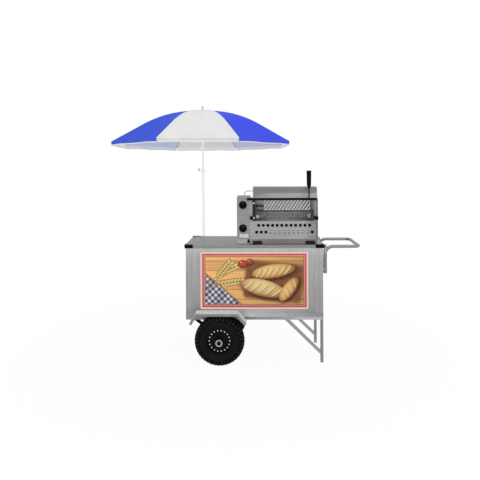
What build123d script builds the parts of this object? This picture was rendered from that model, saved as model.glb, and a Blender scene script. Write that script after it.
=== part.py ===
from build123d import *
import math
import os

# A cheese bread cart: a sheet steel cabinet on two wheels and two legs, with a push handle, a gas oven on the
# counter and a folding umbrella behind it. Sizes are in millimetres and degrees. Heights are from the floor.
# While it is built, X runs along the cart from the middle of the cabinet, and Y from its front to its rear.

# Cabinet
BODY_LENGTH = 1056.0
BODY_DEPTH = 466.0
BODY_BOTTOM = 329.0
BODY_SHEET = 1.5
RAIL_HEIGHT = 52.0
RAIL_WIDTH = 22.0
RAIL_PROUD = 2.0
POST_SIZE = 22.0
TUBE_WALL = 1.5
FIT_PLAY = 0.5

# Counter top and its corner protectors
COUNTER_HEIGHT = 906.0
COUNTER_END_OVERHANG = 5.0
COUNTER_FRONT_OVERHANG = 14.0
COUNTER_REAR_OVERHANG = 60.0
COUNTER_LIP = 25.0
COUNTER_SHEET = 2.0
PROTECTOR_LEG = 62.0
PROTECTOR_WALL = 3.0
PROTECTOR_FLANGE = 14.0
PROTECTOR_CORNER = 5.0

# Printed board on the front
POSTER_WIDTH = 832.0
POSTER_HEIGHT = 442.0
POSTER_MIDDLE = 631.0
POSTER_BOARD = 3.0
POSTER_CORNER = 14.0

# Rear doorway, doors and hinges
DOORWAY_LEFT_INSET = 156.0
DOORWAY_RIGHT_INSET = 61.0
DOORWAY_BOTTOM = 462.0
DOORWAY_TOP = 848.0
DOOR_OVERLAP = 14.0
DOOR_SHEET = 3.0
DOOR_PLAY = 0.5
DOOR_GAP = 3.0
DOOR_KNOB_RADIUS = 14.0
DOOR_KNOB_HEAD = 12.0
DOOR_KNOB_STEM_RADIUS = 5.0
DOOR_KNOB_STEM = 12.0
DOOR_KNOB_INSET = 42.0
HINGE_BARREL_RADIUS = 5.0
HINGE_PIN_RADIUS = 2.5
HINGE_LEAF = 22.0
HINGE_LEAF_SHEET = 1.5
HINGE_HEIGHT = 60.0
HINGE_INSET = 70.0
HINGE_PLAY = 0.3
PIN_PLAY = 0.1

# Wheels, axle and mudguards
WHEEL_INSET = 263.0
WHEEL_OUTSET = 57.0
TYRE_RADIUS = 190.0
TYRE_WIDTH = 90.0
TYRE_WALL = 12.0
TYRE_SHOULDER_DROP = 14.0
TYRE_TREAD_WIDTH = 78.0
TYRE_GROOVE_WIDTH = 5.0
TYRE_GROOVE_DEPTH = 4.0
TYRE_GROOVE_STEP = 19.0
RIM_SEAT_RADIUS = 101.0
RIM_WALL = 7.0
RIM_WIDTH = 72.0
RIM_FLANGE_HEIGHT = 7.0
RIM_FLANGE_SHEET = 4.0
RIM_DISC_SHEET = 6.0
RIM_DISC_OUTSET = 14.0
RIM_PLAY = 0.2
RIM_BOLT_COUNT = 18
RIM_BOLT_CIRCLE = 78.0
RIM_BOLT_RADIUS = 4.8
RIM_BOLT_HEAD = 5.0
HUB_RADIUS = 30.0
HUB_OUTSET = 60.0
AXLE_RADIUS = 15.0
AXLE_TIP = 4.0
COLLAR_RADIUS = 26.0
COLLAR_WIDTH = 16.0
BOSS_RADIUS = 25.0
BOSS_REACH = 20.0
STRUT_WIDTH = 22.0
STRUT_DEPTH = 14.0
STRUT_SPREAD = 185.0
STRUT_INSET = 3.0
FENDER_FLAT = 320.0
FENDER_OFFSET = -21.0
FENDER_LEFT_FLARE = 46.0
FENDER_RIGHT_FLARE = 66.0
FENDER_TOP = 402.0
FENDER_FOOT = 326.0
FENDER_DEPTH = 106.0
FENDER_SHEET = 2.0
FENDER_FLANGE = 20.0

# Legs and push handle
FOOT_PLATE = 4.0
BRACE_REACH = 258.0
BRACE_FOOT = 78.0
HANDLE_TUBE_RADIUS = 12.5
HANDLE_WALL = 1.5
HANDLE_SETBACK = 22.0
HANDLE_LENGTH = 294.0
HANDLE_HEIGHT = 889.0
HANDLE_FOOT = 683.0
HANDLE_DROP_BEND = 60.0
HANDLE_CORNER_BEND = 45.0
HANDLE_GAP = 3.0
SADDLE_WIDTH = 40.0
SADDLE_HEIGHT = 24.0
SADDLE_RISES = (25.0, 120.0)

# Gas cylinder in the cabinet
CYLINDER_INSET = 348.0
CYLINDER_RADIUS = 125.0
CYLINDER_BODY = 300.0
CYLINDER_DOME = 45.0
CYLINDER_WALL = 3.0
CYLINDER_FOOT_RADIUS = 96.0
CYLINDER_FOOT = 28.0
CYLINDER_COLLAR_RADIUS = 78.0
CYLINDER_COLLAR = 60.0
VALVE_STEM_RADIUS = 12.0
VALVE_RISE = 40.0
REGULATOR_RADIUS = 34.0
REGULATOR_HEIGHT = 24.0

# Umbrella pole, socket and clamp
POLE_INSET = 77.0
POLE_GAP = 2.0
LOWER_POLE_RADIUS = 12.0
UPPER_POLE_RADIUS = 9.0
POLE_WALL = 1.5
POLE_PLAY = 0.2
SLIDE_PLAY = 0.1
SOCKET_BOTTOM = 520.0
SOCKET_LENGTH = 280.0
SOCKET_WALL = 4.0
SOCKET_PLATE = 4.0
SOCKET_ARM_WIDTH = 24.0
SOCKET_ARM_HEIGHT = 40.0
SOCKET_FLANGE = 60.0
SOCKET_FLANGE_SHEET = 3.0
CLAMP_HEIGHT = 1455.0
CLAMP_SEAT = 25.0
CLAMP_LENGTH = 45.0
CLAMP_WALL = 5.0
CLAMP_SCREW_RADIUS = 3.0
CLAMP_SCREW_RISE = 33.0
CLAMP_SCREW_LENGTH = 12.0
CLAMP_KNOB_RADIUS = 12.0
CLAMP_KNOB_LENGTH = 13.0
UPPER_POLE_FOOT = 1180.0

# Umbrella ribs, stretchers and canopy
GORE_COUNT = 8
UMBRELLA_TURN = 3.5
CROWN_HINGE_HEIGHT = 1995.0
CROWN_HINGE_RADIUS = 25.0
CROWN_RADIUS = 32.0
CROWN_ABOVE_HINGE = 5.0
CROWN_BELOW_HINGE = 11.0
RIB_SIZE = 5.0
RIB_LIFT = 3.0
RIB_EYE_RADIUS = 4.0
RIB_ARC_RADIUS = 1000.0
RIB_ARC_ANGLE = 30.0
RIB_REACH = 784.0
PIVOT_PIN_RADIUS = 1.5
PIVOT_PIN_LENGTH = 12.0
SLOT_PLAY = 0.3
SLOT_ROOT = 18.0
RUNNER_DROP = 160.0
RUNNER_HUB_HEIGHT = 16.0
RUNNER_SLEEVE = 38.0
RUNNER_SLEEVE_WALL = 4.0
STRETCHER_ANGLE = 12.1
STRETCHER_WIDTH = 6.0
STRETCHER_SHEET = 4.0
STRETCHER_OFFSET = 6.5
STRETCHER_DROP = 3.0
CANOPY_SHEET = 2.0
CANOPY_GAP = 0.8
CANOPY_HOLE = 11.0
CANOPY_OVERHANG = 3.0
SKIRT_DROP = 32.0
SEAM_GAP = 0.6
FINIAL_BASE_RADIUS = 17.0
FINIAL_BASE = 4.0
FINIAL_KNOB_RADIUS = 9.0
FINIAL_RISE = 44.0
FINIAL_STUD = 18.0

# Oven casing on the counter
OVEN_SETBACK = 37.0
OVEN_DEPTH = 330.0
OVEN_INSET = 35.0
OVEN_WIDTH = 524.0
OVEN_SHEET = 2.0
OVEN_FOOT_HEIGHT = 22.0
OVEN_FOOT_LENGTH = 70.0
OVEN_FOOT_DEPTH = 55.0
OVEN_FOOT_INSET = 22.0
OVEN_PLINTH = 17.0
OVEN_PLINTH_SETBACK = 20.0
OVEN_SKIRT_GAP = 3.0
VENT_PANEL_HEIGHT = 141.0
OVEN_MOUTH_HEIGHT = 170.0
STILE_LEFT = 20.0
STILE_RIGHT = 32.0
VENT_HOLE_RADIUS = 12.0
VENT_PITCH = 35.7
VENT_UPPER_COUNT = 12
VENT_UPPER_INSET = 67.0
VENT_UPPER_RISE = 107.0
VENT_LOWER_COUNT = 13
VENT_LOWER_INSET = 51.0
VENT_LOWER_RISE = 55.0

# Hood, control box, gas fittings and burners
HOOD_LEFT_INSET = 23.0
HOOD_RIGHT_INSET = 1.0
HOOD_HEIGHT = 90.0
HOOD_FOLD_RISE = 44.0
HOOD_FRONT_SETBACK = 5.0
HOOD_FOLD_SETBACK = 45.0
HOOD_TOP_SETBACK = 48.0
HOOD_REAR_SLOPE = 36.0
HOOD_REAR_WALL = 39.0
BOX_WIDTH = 101.0
BOX_HEIGHT = 328.0
BOX_DEPTH = 270.0
KNOB_INSET = 46.0
KNOB_UPPER_RISE = 265.0
KNOB_LOWER_RISE = 85.0
KNOB_RADIUS = 31.0
KNOB_TIP_RADIUS = 27.5
KNOB_DEPTH = 16.0
KNOB_GRIP_WIDTH = 12.0
KNOB_GRIP_DEPTH = 12.0
KNOB_STANDOFF = 3.0
KNOB_BORE_DEPTH = 20.0
VALVE_SPINDLE_RADIUS = 4.0
VALVE_BODY_RADIUS = 14.0
VALVE_BODY_DEPTH = 55.0
SPINDLE_HOLE_RADIUS = 6.0
PIPE_RADIUS = 4.0
PIPE_INSET = 55.0
PIPE_SETBACK = 120.0
PIPE_RISE = 41.0
PIPE_BEND = 25.0
INLET_INSET = 88.0
INLET_RADIUS = 5.0
INLET_SETBACK = 10.0
INLET_RISE = 20.0
BURNER_RADIUS = 10.0
BURNER_SETBACK = 18.0
BURNER_LEFT_INSET = 140.0
BURNER_RIGHT_INSET = 66.0
BURNER_FEED_RADIUS = 5.0
BURNER_FOOT = 20.0
UPPER_BURNER_RISE = 39.0

# Tray, screen and drop door of the oven
TRAY_LEFT_INSET = 46.0
TRAY_RIGHT_INSET = 56.0
TRAY_FRONT_SETBACK = 15.0
TRAY_REAR_SETBACK = 25.0
TRAY_HEIGHT = 66.0
TRAY_SHEET = 2.0
SCREEN_LEFT_INSET = 111.0
SCREEN_RIGHT_INSET = 36.0
SCREEN_SETBACK = 230.0
SCREEN_SHEET = 4.0
DOOR_PIVOT_RISE = 24.0
DOOR_PIVOT_OUTSET = 19.0
DOOR_PIVOT_RADIUS = 4.0
DOOR_PIVOT_REACH = 16.0
PIVOT_BLOCK_SIZE = 24.0
ARM_LEFT_INSET = 21.0
ARM_RIGHT_INSET = 33.0
ARM_WIDTH = 20.0
ARM_DEPTH = 18.0
ARM_BELOW_PIVOT = 12.0
ARM_AHEAD_OF_PIVOT = 6.0
BAR_LEFT_REACH = 23.0
BAR_RIGHT_INSET = 10.0
BAR_RISE = 160.0
BAR_HEIGHT = 18.0
BAR_DEPTH = 14.0
BAR_BACK_GAP = 3.0
PANE_SHEET = 4.0
PANE_BACK_GAP = 9.0
PANE_RISE = 32.0
LEVER_INSET = 69.0
LEVER_RADIUS = 5.0
LEVER_RISE = 76.0
GRIP_LENGTH = 134.0
GRIP_FOOT_RADIUS = 10.0
GRIP_BODY_RADIUS = 17.0
GRIP_TIP_RADIUS = 18.0
GRIP_TAPER = 26.0

# Places worked out from the sizes above
LEFT = -BODY_LENGTH / 2
RIGHT = BODY_LENGTH / 2
FRONT = -BODY_DEPTH / 2
REAR = BODY_DEPTH / 2
RAIL_TOP = BODY_BOTTOM + RAIL_HEIGHT
PANEL_TOP = COUNTER_HEIGHT - COUNTER_SHEET
COUNTER_END = RIGHT + COUNTER_END_OVERHANG
COUNTER_FRONT = FRONT - COUNTER_FRONT_OVERHANG
COUNTER_REAR = REAR + COUNTER_REAR_OVERHANG
FLOOR_TOP = RAIL_TOP + BODY_SHEET
DOORWAY_LEFT = LEFT + DOORWAY_LEFT_INSET
DOORWAY_RIGHT = RIGHT - DOORWAY_RIGHT_INSET
DOOR_LEFT_EDGE = DOORWAY_LEFT - DOOR_OVERLAP
DOOR_RIGHT_EDGE = DOORWAY_RIGHT + DOOR_OVERLAP
DOOR_BOTTOM = DOORWAY_BOTTOM - DOOR_OVERLAP
DOOR_TOP = DOORWAY_TOP + DOOR_OVERLAP
DOOR_FACE = REAR + DOOR_PLAY + DOOR_SHEET
HINGE_STANDOFF = HINGE_BARREL_RADIUS + 2 * FIT_PLAY
HINGE_LINE = REAR + HINGE_STANDOFF
WHEEL_PLACE = LEFT + WHEEL_INSET
AXLE_HEIGHT = TYRE_RADIUS
WHEEL_LINE = FRONT - WHEEL_OUTSET
BOSS_END = FRONT - BOSS_REACH
COLLAR_START = WHEEL_LINE - HUB_OUTSET - FIT_PLAY
AXLE_END = COLLAR_START - COLLAR_WIDTH - AXLE_TIP
LEG_FACE = RIGHT - POST_SIZE
HANDLE_REACH = RIGHT + HANDLE_LENGTH
HANDLE_LINE = COUNTER_END + HANDLE_GAP + HANDLE_TUBE_RADIUS
CYLINDER_PLACE = RIGHT - CYLINDER_INSET
POLE_PLACE = LEFT + POLE_INSET
POLE_LINE = COUNTER_REAR + POLE_GAP + LOWER_POLE_RADIUS
SOCKET_FLOOR = SOCKET_BOTTOM + SOCKET_PLATE
CLAMP_TOP = CLAMP_HEIGHT + CLAMP_LENGTH
CLAMP_RADIUS = LOWER_POLE_RADIUS + CLAMP_WALL
RUNNER_HINGE_HEIGHT = CROWN_HINGE_HEIGHT - RUNNER_DROP
ARC_CENTRE_HEIGHT = CROWN_HINGE_HEIGHT + RIB_LIFT - RIB_ARC_RADIUS
CROWN_TOP = CROWN_HINGE_HEIGHT + CROWN_ABOVE_HINGE
CANOPY_LIFT = RIB_SIZE / 2 + CANOPY_GAP
CANOPY_TOP = ARC_CENTRE_HEIGHT + RIB_ARC_RADIUS + CANOPY_LIFT + CANOPY_SHEET
GORE_ANGLE = 360.0 / GORE_COUNT
GORE_COSINE = math.cos(math.radians(GORE_ANGLE / 2))
OVEN_RIGHT = RIGHT - OVEN_INSET
OVEN_LEFT = OVEN_RIGHT - OVEN_WIDTH
OVEN_FRONT = COUNTER_FRONT + OVEN_SETBACK
OVEN_REAR = OVEN_FRONT + OVEN_DEPTH
OVEN_INNER_FRONT = OVEN_FRONT + OVEN_SHEET
OVEN_INNER_REAR = OVEN_REAR - OVEN_SHEET
OVEN_INNER_LEFT = OVEN_LEFT + OVEN_SHEET
OVEN_INNER_RIGHT = OVEN_RIGHT - OVEN_SHEET
OVEN_BASE = COUNTER_HEIGHT + OVEN_FOOT_HEIGHT
OVEN_BOTTOM = OVEN_BASE + OVEN_PLINTH
DECK_TOP = OVEN_BOTTOM + VENT_PANEL_HEIGHT
OVEN_TOP = DECK_TOP + OVEN_MOUTH_HEIGHT
VENT_UPPER_START = OVEN_LEFT + VENT_UPPER_INSET
VENT_LOWER_START = OVEN_LEFT + VENT_LOWER_INSET
HOOD_LEFT = OVEN_LEFT + HOOD_LEFT_INSET
HOOD_RIGHT = OVEN_RIGHT - HOOD_RIGHT_INSET
BOX_LEFT = OVEN_LEFT - BOX_WIDTH
KNOB_PLACE = BOX_LEFT + KNOB_INSET
KNOB_UPPER_HEIGHT = OVEN_BOTTOM + KNOB_UPPER_RISE
KNOB_LOWER_HEIGHT = OVEN_BOTTOM + KNOB_LOWER_RISE
PIPE_PLACE = BOX_LEFT + PIPE_INSET
INLET_PLACE = BOX_LEFT + INLET_INSET
BURNER_LEFT = OVEN_LEFT + BURNER_LEFT_INSET
BURNER_RIGHT = OVEN_RIGHT - BURNER_RIGHT_INSET
TRAY_LEFT = OVEN_LEFT + TRAY_LEFT_INSET
TRAY_RIGHT = OVEN_RIGHT - TRAY_RIGHT_INSET
SCREEN_LEFT = OVEN_LEFT + SCREEN_LEFT_INSET
SCREEN_RIGHT = OVEN_RIGHT - SCREEN_RIGHT_INSET
DOOR_PIVOT_HEIGHT = DECK_TOP + DOOR_PIVOT_RISE
ARM_LEFT = OVEN_LEFT + ARM_LEFT_INSET
ARM_RIGHT = OVEN_RIGHT - ARM_RIGHT_INSET
BAR_LEFT = OVEN_LEFT - BAR_LEFT_REACH
BAR_RIGHT = OVEN_RIGHT - BAR_RIGHT_INSET
BAR_BOTTOM = DECK_TOP + BAR_RISE
PANE_BOTTOM = DECK_TOP + PANE_RISE
LEVER_PLACE = OVEN_RIGHT - LEVER_INSET
DOOR_PIVOT_LINE = OVEN_FRONT - DOOR_PIVOT_OUTSET
BAR_TOP = BAR_BOTTOM + BAR_HEIGHT

# The origin is on the floor, under the middle of the whole cart with its umbrella open
CANOPY_REACH = RIB_REACH + CANOPY_OVERHANG + CANOPY_SHEET / GORE_COSINE


def rib_azimuths():
    """Directions of the ribs, counted from +X towards +Y."""
    first = UMBRELLA_TURN - 90.0 + GORE_ANGLE / 2
    return [first + GORE_ANGLE * place for place in range(GORE_COUNT)]


def canopy_reach(turn):
    """How far the rim stands out from the pole along one axis."""
    return CANOPY_REACH * max(math.cos(math.radians(azimuth - turn)) for azimuth in rib_azimuths())


ORIGIN_X = (POLE_PLACE - canopy_reach(180.0) + max(HANDLE_REACH, POLE_PLACE + canopy_reach(0.0))) / 2
ORIGIN_Y = (min(POLE_LINE - canopy_reach(-90.0), AXLE_END) + POLE_LINE + canopy_reach(90.0)) / 2


def block(x0, x1, y0, y1, z0, z1):
    """Rectangular solid between two corners."""
    return Pos((x0 + x1) / 2, (y0 + y1) / 2, (z0 + z1) / 2) * Box(x1 - x0, y1 - y0, z1 - z0)


def rod(start, end, radius):
    """Round bar from one point to another."""
    start = Vector(*start)
    run = Vector(*end) - start
    bar = Cylinder(radius, run.length, align=(Align.CENTER, Align.CENTER, Align.MIN))
    return Plane(origin=start, z_dir=run) * bar


def ring(start, end, outer, inner):
    """Round tube from one point to another."""
    return rod(start, end, outer) - rod(start, end, inner)


def prism_along_y(points, y0, y1):
    """Outline in X and Z, drawn out along Y."""
    face = Plane.XZ * Polygon(*points, align=None)
    return Pos(0, y0, 0) * extrude(face, y1 - y0, dir=(0, 1, 0))


def prism_along_x(points, x0, x1):
    """Outline in Y and Z, drawn out along X."""
    face = Plane.YZ * Polygon(*points, align=None)
    return Pos(x0, 0, 0) * extrude(face, x1 - x0, dir=(1, 0, 0))


def turned(points):
    """Solid of revolution about Z from an outline of radius and height."""
    return revolve(Plane.XZ * Polygon(*points, align=None), Axis.Z)


def group(*shapes):
    """Separate solids that share one node."""
    return Compound([solid for shape in shapes for solid in shape.solids()])


def flipped(shape):
    """The same shape at the other face of the cabinet."""
    return mirror(shape, about=Plane.XZ)


def beside(points, distance):
    """A line moved to its right by a distance, mitred at each bend."""
    moved = []
    last = len(points) - 1
    for place, (x, y) in enumerate(points):
        steps = []
        for a, b in ((place - 1, place), (place, place + 1)):
            if a >= 0 and b <= last:
                dx = points[b][0] - points[a][0]
                dy = points[b][1] - points[a][1]
                length = math.hypot(dx, dy)
                steps.append((dy / length, -dx / length))
        nx = sum(step[0] for step in steps) / len(steps)
        ny = sum(step[1] for step in steps) / len(steps)
        square = nx * nx + ny * ny
        moved.append((x + nx * distance / square, y + ny * distance / square))
    return moved


def folded_sheet(points, sheet):
    """Outline of a bent sheet, with its thickness to the right of the line."""
    return points + beside(points, sheet)[::-1]


def box_tube(x0, x1, y0, y1, z0, z1, along):
    """Rectangular tube, open at both ends."""
    insets = [0.0 if axis == along else TUBE_WALL for axis in "XYZ"]
    ix, iy, iz = insets
    return block(x0, x1, y0, y1, z0, z1) - block(x0 + ix, x1 - ix, y0 + iy, y1 - iy, z0 + iz, z1 - iz)


# Cabinet


def cabinet_frame():
    rail_front = FRONT - RAIL_PROUD
    rail_back = rail_front + RAIL_WIDTH
    long_rail = box_tube(LEFT, RIGHT, rail_front, rail_back, BODY_BOTTOM, RAIL_TOP, "X")
    pieces = [long_rail, flipped(long_rail)]
    for x0 in (LEFT, RIGHT - RAIL_WIDTH):
        pieces.append(box_tube(x0, x0 + RAIL_WIDTH, rail_back, -rail_back, BODY_BOTTOM, RAIL_TOP, "Y"))
    for x0 in (LEFT + BODY_SHEET, RIGHT - BODY_SHEET - POST_SIZE):
        y0 = FRONT + BODY_SHEET
        post = box_tube(x0, x0 + POST_SIZE, y0, y0 + POST_SIZE, RAIL_TOP, PANEL_TOP, "Z")
        pieces += [post, flipped(post)]
    return group(*pieces)


def front_panel():
    return block(LEFT, RIGHT, FRONT, FRONT + BODY_SHEET, RAIL_TOP, PANEL_TOP)


def side_panels():
    y0 = FRONT + BODY_SHEET
    left = block(LEFT, LEFT + BODY_SHEET, y0, -y0, RAIL_TOP, PANEL_TOP)
    right = block(RIGHT - BODY_SHEET, RIGHT, y0, -y0, RAIL_TOP, PANEL_TOP)
    return group(left, right)


def floor_panel():
    edge = BODY_SHEET + FIT_PLAY
    sheet = block(LEFT + edge, RIGHT - edge, FRONT + edge, REAR - edge, RAIL_TOP, FLOOR_TOP)
    notch = BODY_SHEET + POST_SIZE + FIT_PLAY
    for x0 in (LEFT, RIGHT - notch):
        for y0 in (FRONT, REAR - notch):
            sheet -= block(x0, x0 + notch, y0, y0 + notch, RAIL_TOP, FLOOR_TOP)
    return sheet


def counter_top():
    bottom = COUNTER_HEIGHT - COUNTER_LIP
    outer = block(-COUNTER_END, COUNTER_END, COUNTER_FRONT, COUNTER_REAR, bottom, COUNTER_HEIGHT)
    end = COUNTER_END - COUNTER_SHEET
    return outer - block(
        -end, end, COUNTER_FRONT + COUNTER_SHEET, COUNTER_REAR - COUNTER_SHEET, bottom, PANEL_TOP
    )


def corner_protector(x, y, side, end):
    """Cap round one corner of the counter, with a narrow flange on top."""
    bottom = COUNTER_HEIGHT - COUNTER_LIP
    top = COUNTER_HEIGHT + PROTECTOR_WALL
    cap = block(-PROTECTOR_LEG, PROTECTOR_WALL, -PROTECTOR_LEG, PROTECTOR_WALL, bottom, top)
    edge = cap.edges().filter_by(Axis.Z).sort_by_distance((PROTECTOR_WALL, PROTECTOR_WALL, top))[0]
    cap = fillet(edge, PROTECTOR_CORNER)
    cap -= block(-PROTECTOR_LEG, 0, -PROTECTOR_LEG, 0, bottom, COUNTER_HEIGHT)
    cap -= block(-PROTECTOR_LEG, -PROTECTOR_FLANGE, -PROTECTOR_LEG, -PROTECTOR_FLANGE, bottom, top)
    if side < 0:
        cap = mirror(cap, about=Plane.YZ)
    if end < 0:
        cap = mirror(cap, about=Plane.XZ)
    return Pos(x, y, 0) * cap


def corner_protectors():
    corners = [(side, end) for side in (-1, 1) for end in (-1, 1)]
    lines = {-1: COUNTER_FRONT, 1: COUNTER_REAR}
    return group(*[corner_protector(side * COUNTER_END, lines[end], side, end) for side, end in corners])


def poster_panel():
    face = RectangleRounded(POSTER_WIDTH, POSTER_HEIGHT, POSTER_CORNER)
    return extrude(Plane.XZ.offset(-FRONT) * Pos(0, POSTER_MIDDLE) * face, POSTER_BOARD)


# Rear doors


def hinge_lines():
    """Hinge axis place and the way the door runs from it, for the left and the right door."""
    return ((DOOR_LEFT_EDGE - HINGE_STANDOFF, 1), (DOOR_RIGHT_EDGE + HINGE_STANDOFF, -1))


def span(x, way, near, far):
    """Two X values at given distances from a hinge line, in order."""
    return sorted((x + way * near, x + way * far))


def hinge_places():
    """Heights of the lower end of each hinge."""
    return (DOOR_BOTTOM + HINGE_INSET, DOOR_TOP - HINGE_INSET - HINGE_HEIGHT)


def fixed_hinge(x, way, z):
    """Leaf on the rear sheet with two knuckles and the pin."""
    third = HINGE_HEIGHT / 3
    x0, x1 = span(x, -way, HINGE_BARREL_RADIUS + FIT_PLAY, HINGE_LEAF)
    hinge = block(x0, x1, REAR, REAR + HINGE_LEAF_SHEET, z, z + HINGE_HEIGHT)
    for z0 in (z, z + 2 * third):
        x0, x1 = span(x, -way, 0, HINGE_LEAF)
        hinge += block(x0, x1, REAR, REAR + HINGE_LEAF_SHEET, z0, z0 + third)
        hinge += rod((x, HINGE_LINE, z0), (x, HINGE_LINE, z0 + third), HINGE_BARREL_RADIUS)
    return hinge + rod((x, HINGE_LINE, z), (x, HINGE_LINE, z + HINGE_HEIGHT), HINGE_PIN_RADIUS)


def door_leaf(x, way, z):
    """Leaf on the door with the middle knuckle."""
    third = HINGE_HEIGHT / 3
    z0 = z + third + HINGE_PLAY
    z1 = z + 2 * third - HINGE_PLAY
    outer = DOOR_FACE + HINGE_LEAF_SHEET
    x0, x1 = span(x, way, HINGE_STANDOFF, HINGE_LEAF)
    leaf = block(x0, x1, DOOR_FACE, outer, z, z + HINGE_HEIGHT)
    x0, x1 = span(x, way, 0, HINGE_LEAF)
    leaf += block(x0, x1, DOOR_FACE, outer, z0, z1)
    leaf += rod((x, HINGE_LINE, z0), (x, HINGE_LINE, z1), HINGE_BARREL_RADIUS)
    bore = HINGE_PIN_RADIUS + PIN_PLAY
    return leaf - rod((x, HINGE_LINE, z), (x, HINGE_LINE, z + HINGE_HEIGHT), bore)


def rear_panel():
    sheet = block(LEFT, RIGHT, REAR - BODY_SHEET, REAR, RAIL_TOP, PANEL_TOP)
    sheet -= block(DOORWAY_LEFT, DOORWAY_RIGHT, REAR - BODY_SHEET, REAR, DOORWAY_BOTTOM, DOORWAY_TOP)
    hinges = [fixed_hinge(x, way, z) for x, way in hinge_lines() for z in hinge_places()]
    return group(sheet, *hinges)


def rear_door(x, way):
    """Overlay door with its two hinge leaves and its knob."""
    middle = (DOOR_LEFT_EDGE + DOOR_RIGHT_EDGE) / 2
    width = abs(middle - x) - DOOR_GAP / 2
    x0, x1 = span(x, way, HINGE_STANDOFF, width)
    sheet = block(x0, x1, REAR + DOOR_PLAY, DOOR_FACE, DOOR_BOTTOM, DOOR_TOP)
    leaves = [door_leaf(x, way, z) for z in hinge_places()]
    knob_x = x + way * (width - DOOR_KNOB_INSET)
    knob_z = (DOOR_BOTTOM + DOOR_TOP) / 2
    neck = DOOR_FACE + DOOR_KNOB_STEM
    knob = rod((knob_x, DOOR_FACE, knob_z), (knob_x, neck, knob_z), DOOR_KNOB_STEM_RADIUS)
    knob += rod((knob_x, neck, knob_z), (knob_x, neck + DOOR_KNOB_HEAD, knob_z), DOOR_KNOB_RADIUS)
    return group(sheet, knob, *leaves)


# Wheels, axle and mudguards


def tyre():
    """Tyre section of radius and width, turned about the axle."""
    bead = RIM_SEAT_RADIUS + RIM_PLAY
    half = RIM_WIDTH / 2 - RIM_PLAY
    tread = TYRE_TREAD_WIDTH / 2
    shoulder = TYRE_RADIUS - TYRE_SHOULDER_DROP
    flange = bead + RIM_FLANGE_HEIGHT
    belly = (flange + shoulder) / 2
    side = TYRE_WIDTH / 2
    inner_side = side - TYRE_WALL
    inner_half = half - TYRE_WALL
    inner_tread = tread - TYRE_WALL
    roof = shoulder - TYRE_WALL / 2
    crown = TYRE_RADIUS - TYRE_WALL
    section = [
        Line((bead, half), (flange, half)),
        ThreePointArc((flange, half), (belly, side), (shoulder, tread)),
        ThreePointArc((shoulder, tread), (TYRE_RADIUS, 0), (shoulder, -tread)),
        ThreePointArc((shoulder, -tread), (belly, -side), (flange, -half)),
        Line((flange, -half), (bead, -half)),
        Line((bead, -half), (bead, -inner_half)),
        Line((bead, -inner_half), (flange, -inner_half)),
        ThreePointArc((flange, -inner_half), (belly, -inner_side), (roof, -inner_tread)),
        ThreePointArc((roof, -inner_tread), (crown, 0), (roof, inner_tread)),
        ThreePointArc((roof, inner_tread), (belly, inner_side), (flange, inner_half)),
        Line((flange, inner_half), (bead, inner_half)),
        Line((bead, inner_half), (bead, half)),
    ]
    body = revolve(make_face(section), Axis.Y)
    for step in (-1, 0, 1):
        y0 = step * TYRE_GROOVE_STEP - TYRE_GROOVE_WIDTH / 2
        floor = TYRE_RADIUS - TYRE_GROOVE_DEPTH - abs(step) * TYRE_GROOVE_DEPTH
        body -= ring((0, y0, 0), (0, y0 + TYRE_GROOVE_WIDTH, 0), TYRE_RADIUS + RIM_PLAY, floor)
    return body


def rim():
    """Barrel, flanges, disc and hub as one pressing. Its outer side faces -Y."""
    half = RIM_WIDTH / 2
    lip = half + RIM_FLANGE_SHEET
    inner = RIM_SEAT_RADIUS - RIM_WALL
    body = ring((0, -lip, 0), (0, lip, 0), RIM_SEAT_RADIUS, inner)
    for y0, y1 in ((-lip, -half), (half, lip)):
        body += ring((0, y0, 0), (0, y1, 0), RIM_SEAT_RADIUS + RIM_FLANGE_HEIGHT, inner)
    body += rod((0, -RIM_DISC_OUTSET, 0), (0, RIM_DISC_SHEET - RIM_DISC_OUTSET, 0), inner)
    hub_end = BOSS_END - FIT_PLAY - WHEEL_LINE
    body += rod((0, -HUB_OUTSET, 0), (0, hub_end, 0), HUB_RADIUS)
    return body - rod((0, -HUB_OUTSET, 0), (0, hub_end, 0), AXLE_RADIUS + PIN_PLAY)


def rim_bolts():
    face = -RIM_DISC_OUTSET
    bolt = rod((RIM_BOLT_CIRCLE, face, 0), (RIM_BOLT_CIRCLE, face - RIM_BOLT_HEAD, 0), RIM_BOLT_RADIUS)
    step = 360.0 / RIM_BOLT_COUNT
    return group(*[Rot(0, step * place, 0) * bolt for place in range(RIM_BOLT_COUNT)])


def front_wheel(piece):
    return Pos(WHEEL_PLACE, WHEEL_LINE, AXLE_HEIGHT) * piece


def axle():
    z = AXLE_HEIGHT
    bar = rod((WHEEL_PLACE, AXLE_END, z), (WHEEL_PLACE, -AXLE_END, z), AXLE_RADIUS)
    start = (WHEEL_PLACE, COLLAR_START - COLLAR_WIDTH, z)
    collar = ring(start, (WHEEL_PLACE, COLLAR_START, z), COLLAR_RADIUS, AXLE_RADIUS + PIN_PLAY)
    return group(bar, collar, flipped(collar))


def strut_outline(side):
    """Flat bar from the boss on the axle up to the base rail."""
    dx = side * STRUT_SPREAD
    dz = BODY_BOTTOM - AXLE_HEIGHT
    length = math.hypot(dx, dz)
    ux, uz = dx / length, dz / length
    corners = []
    for across in (-STRUT_WIDTH / 2, STRUT_WIDTH / 2):
        foot_x = WHEEL_PLACE + ux * BOSS_RADIUS - uz * across
        foot_z = AXLE_HEIGHT + uz * BOSS_RADIUS + ux * across
        top_x = foot_x + (BODY_BOTTOM - foot_z) * ux / uz
        corners.append(((foot_x, foot_z), (top_x, BODY_BOTTOM)))
    (foot_a, top_a), (foot_b, top_b) = corners
    return [foot_a, top_a, top_b, foot_b]


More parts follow.
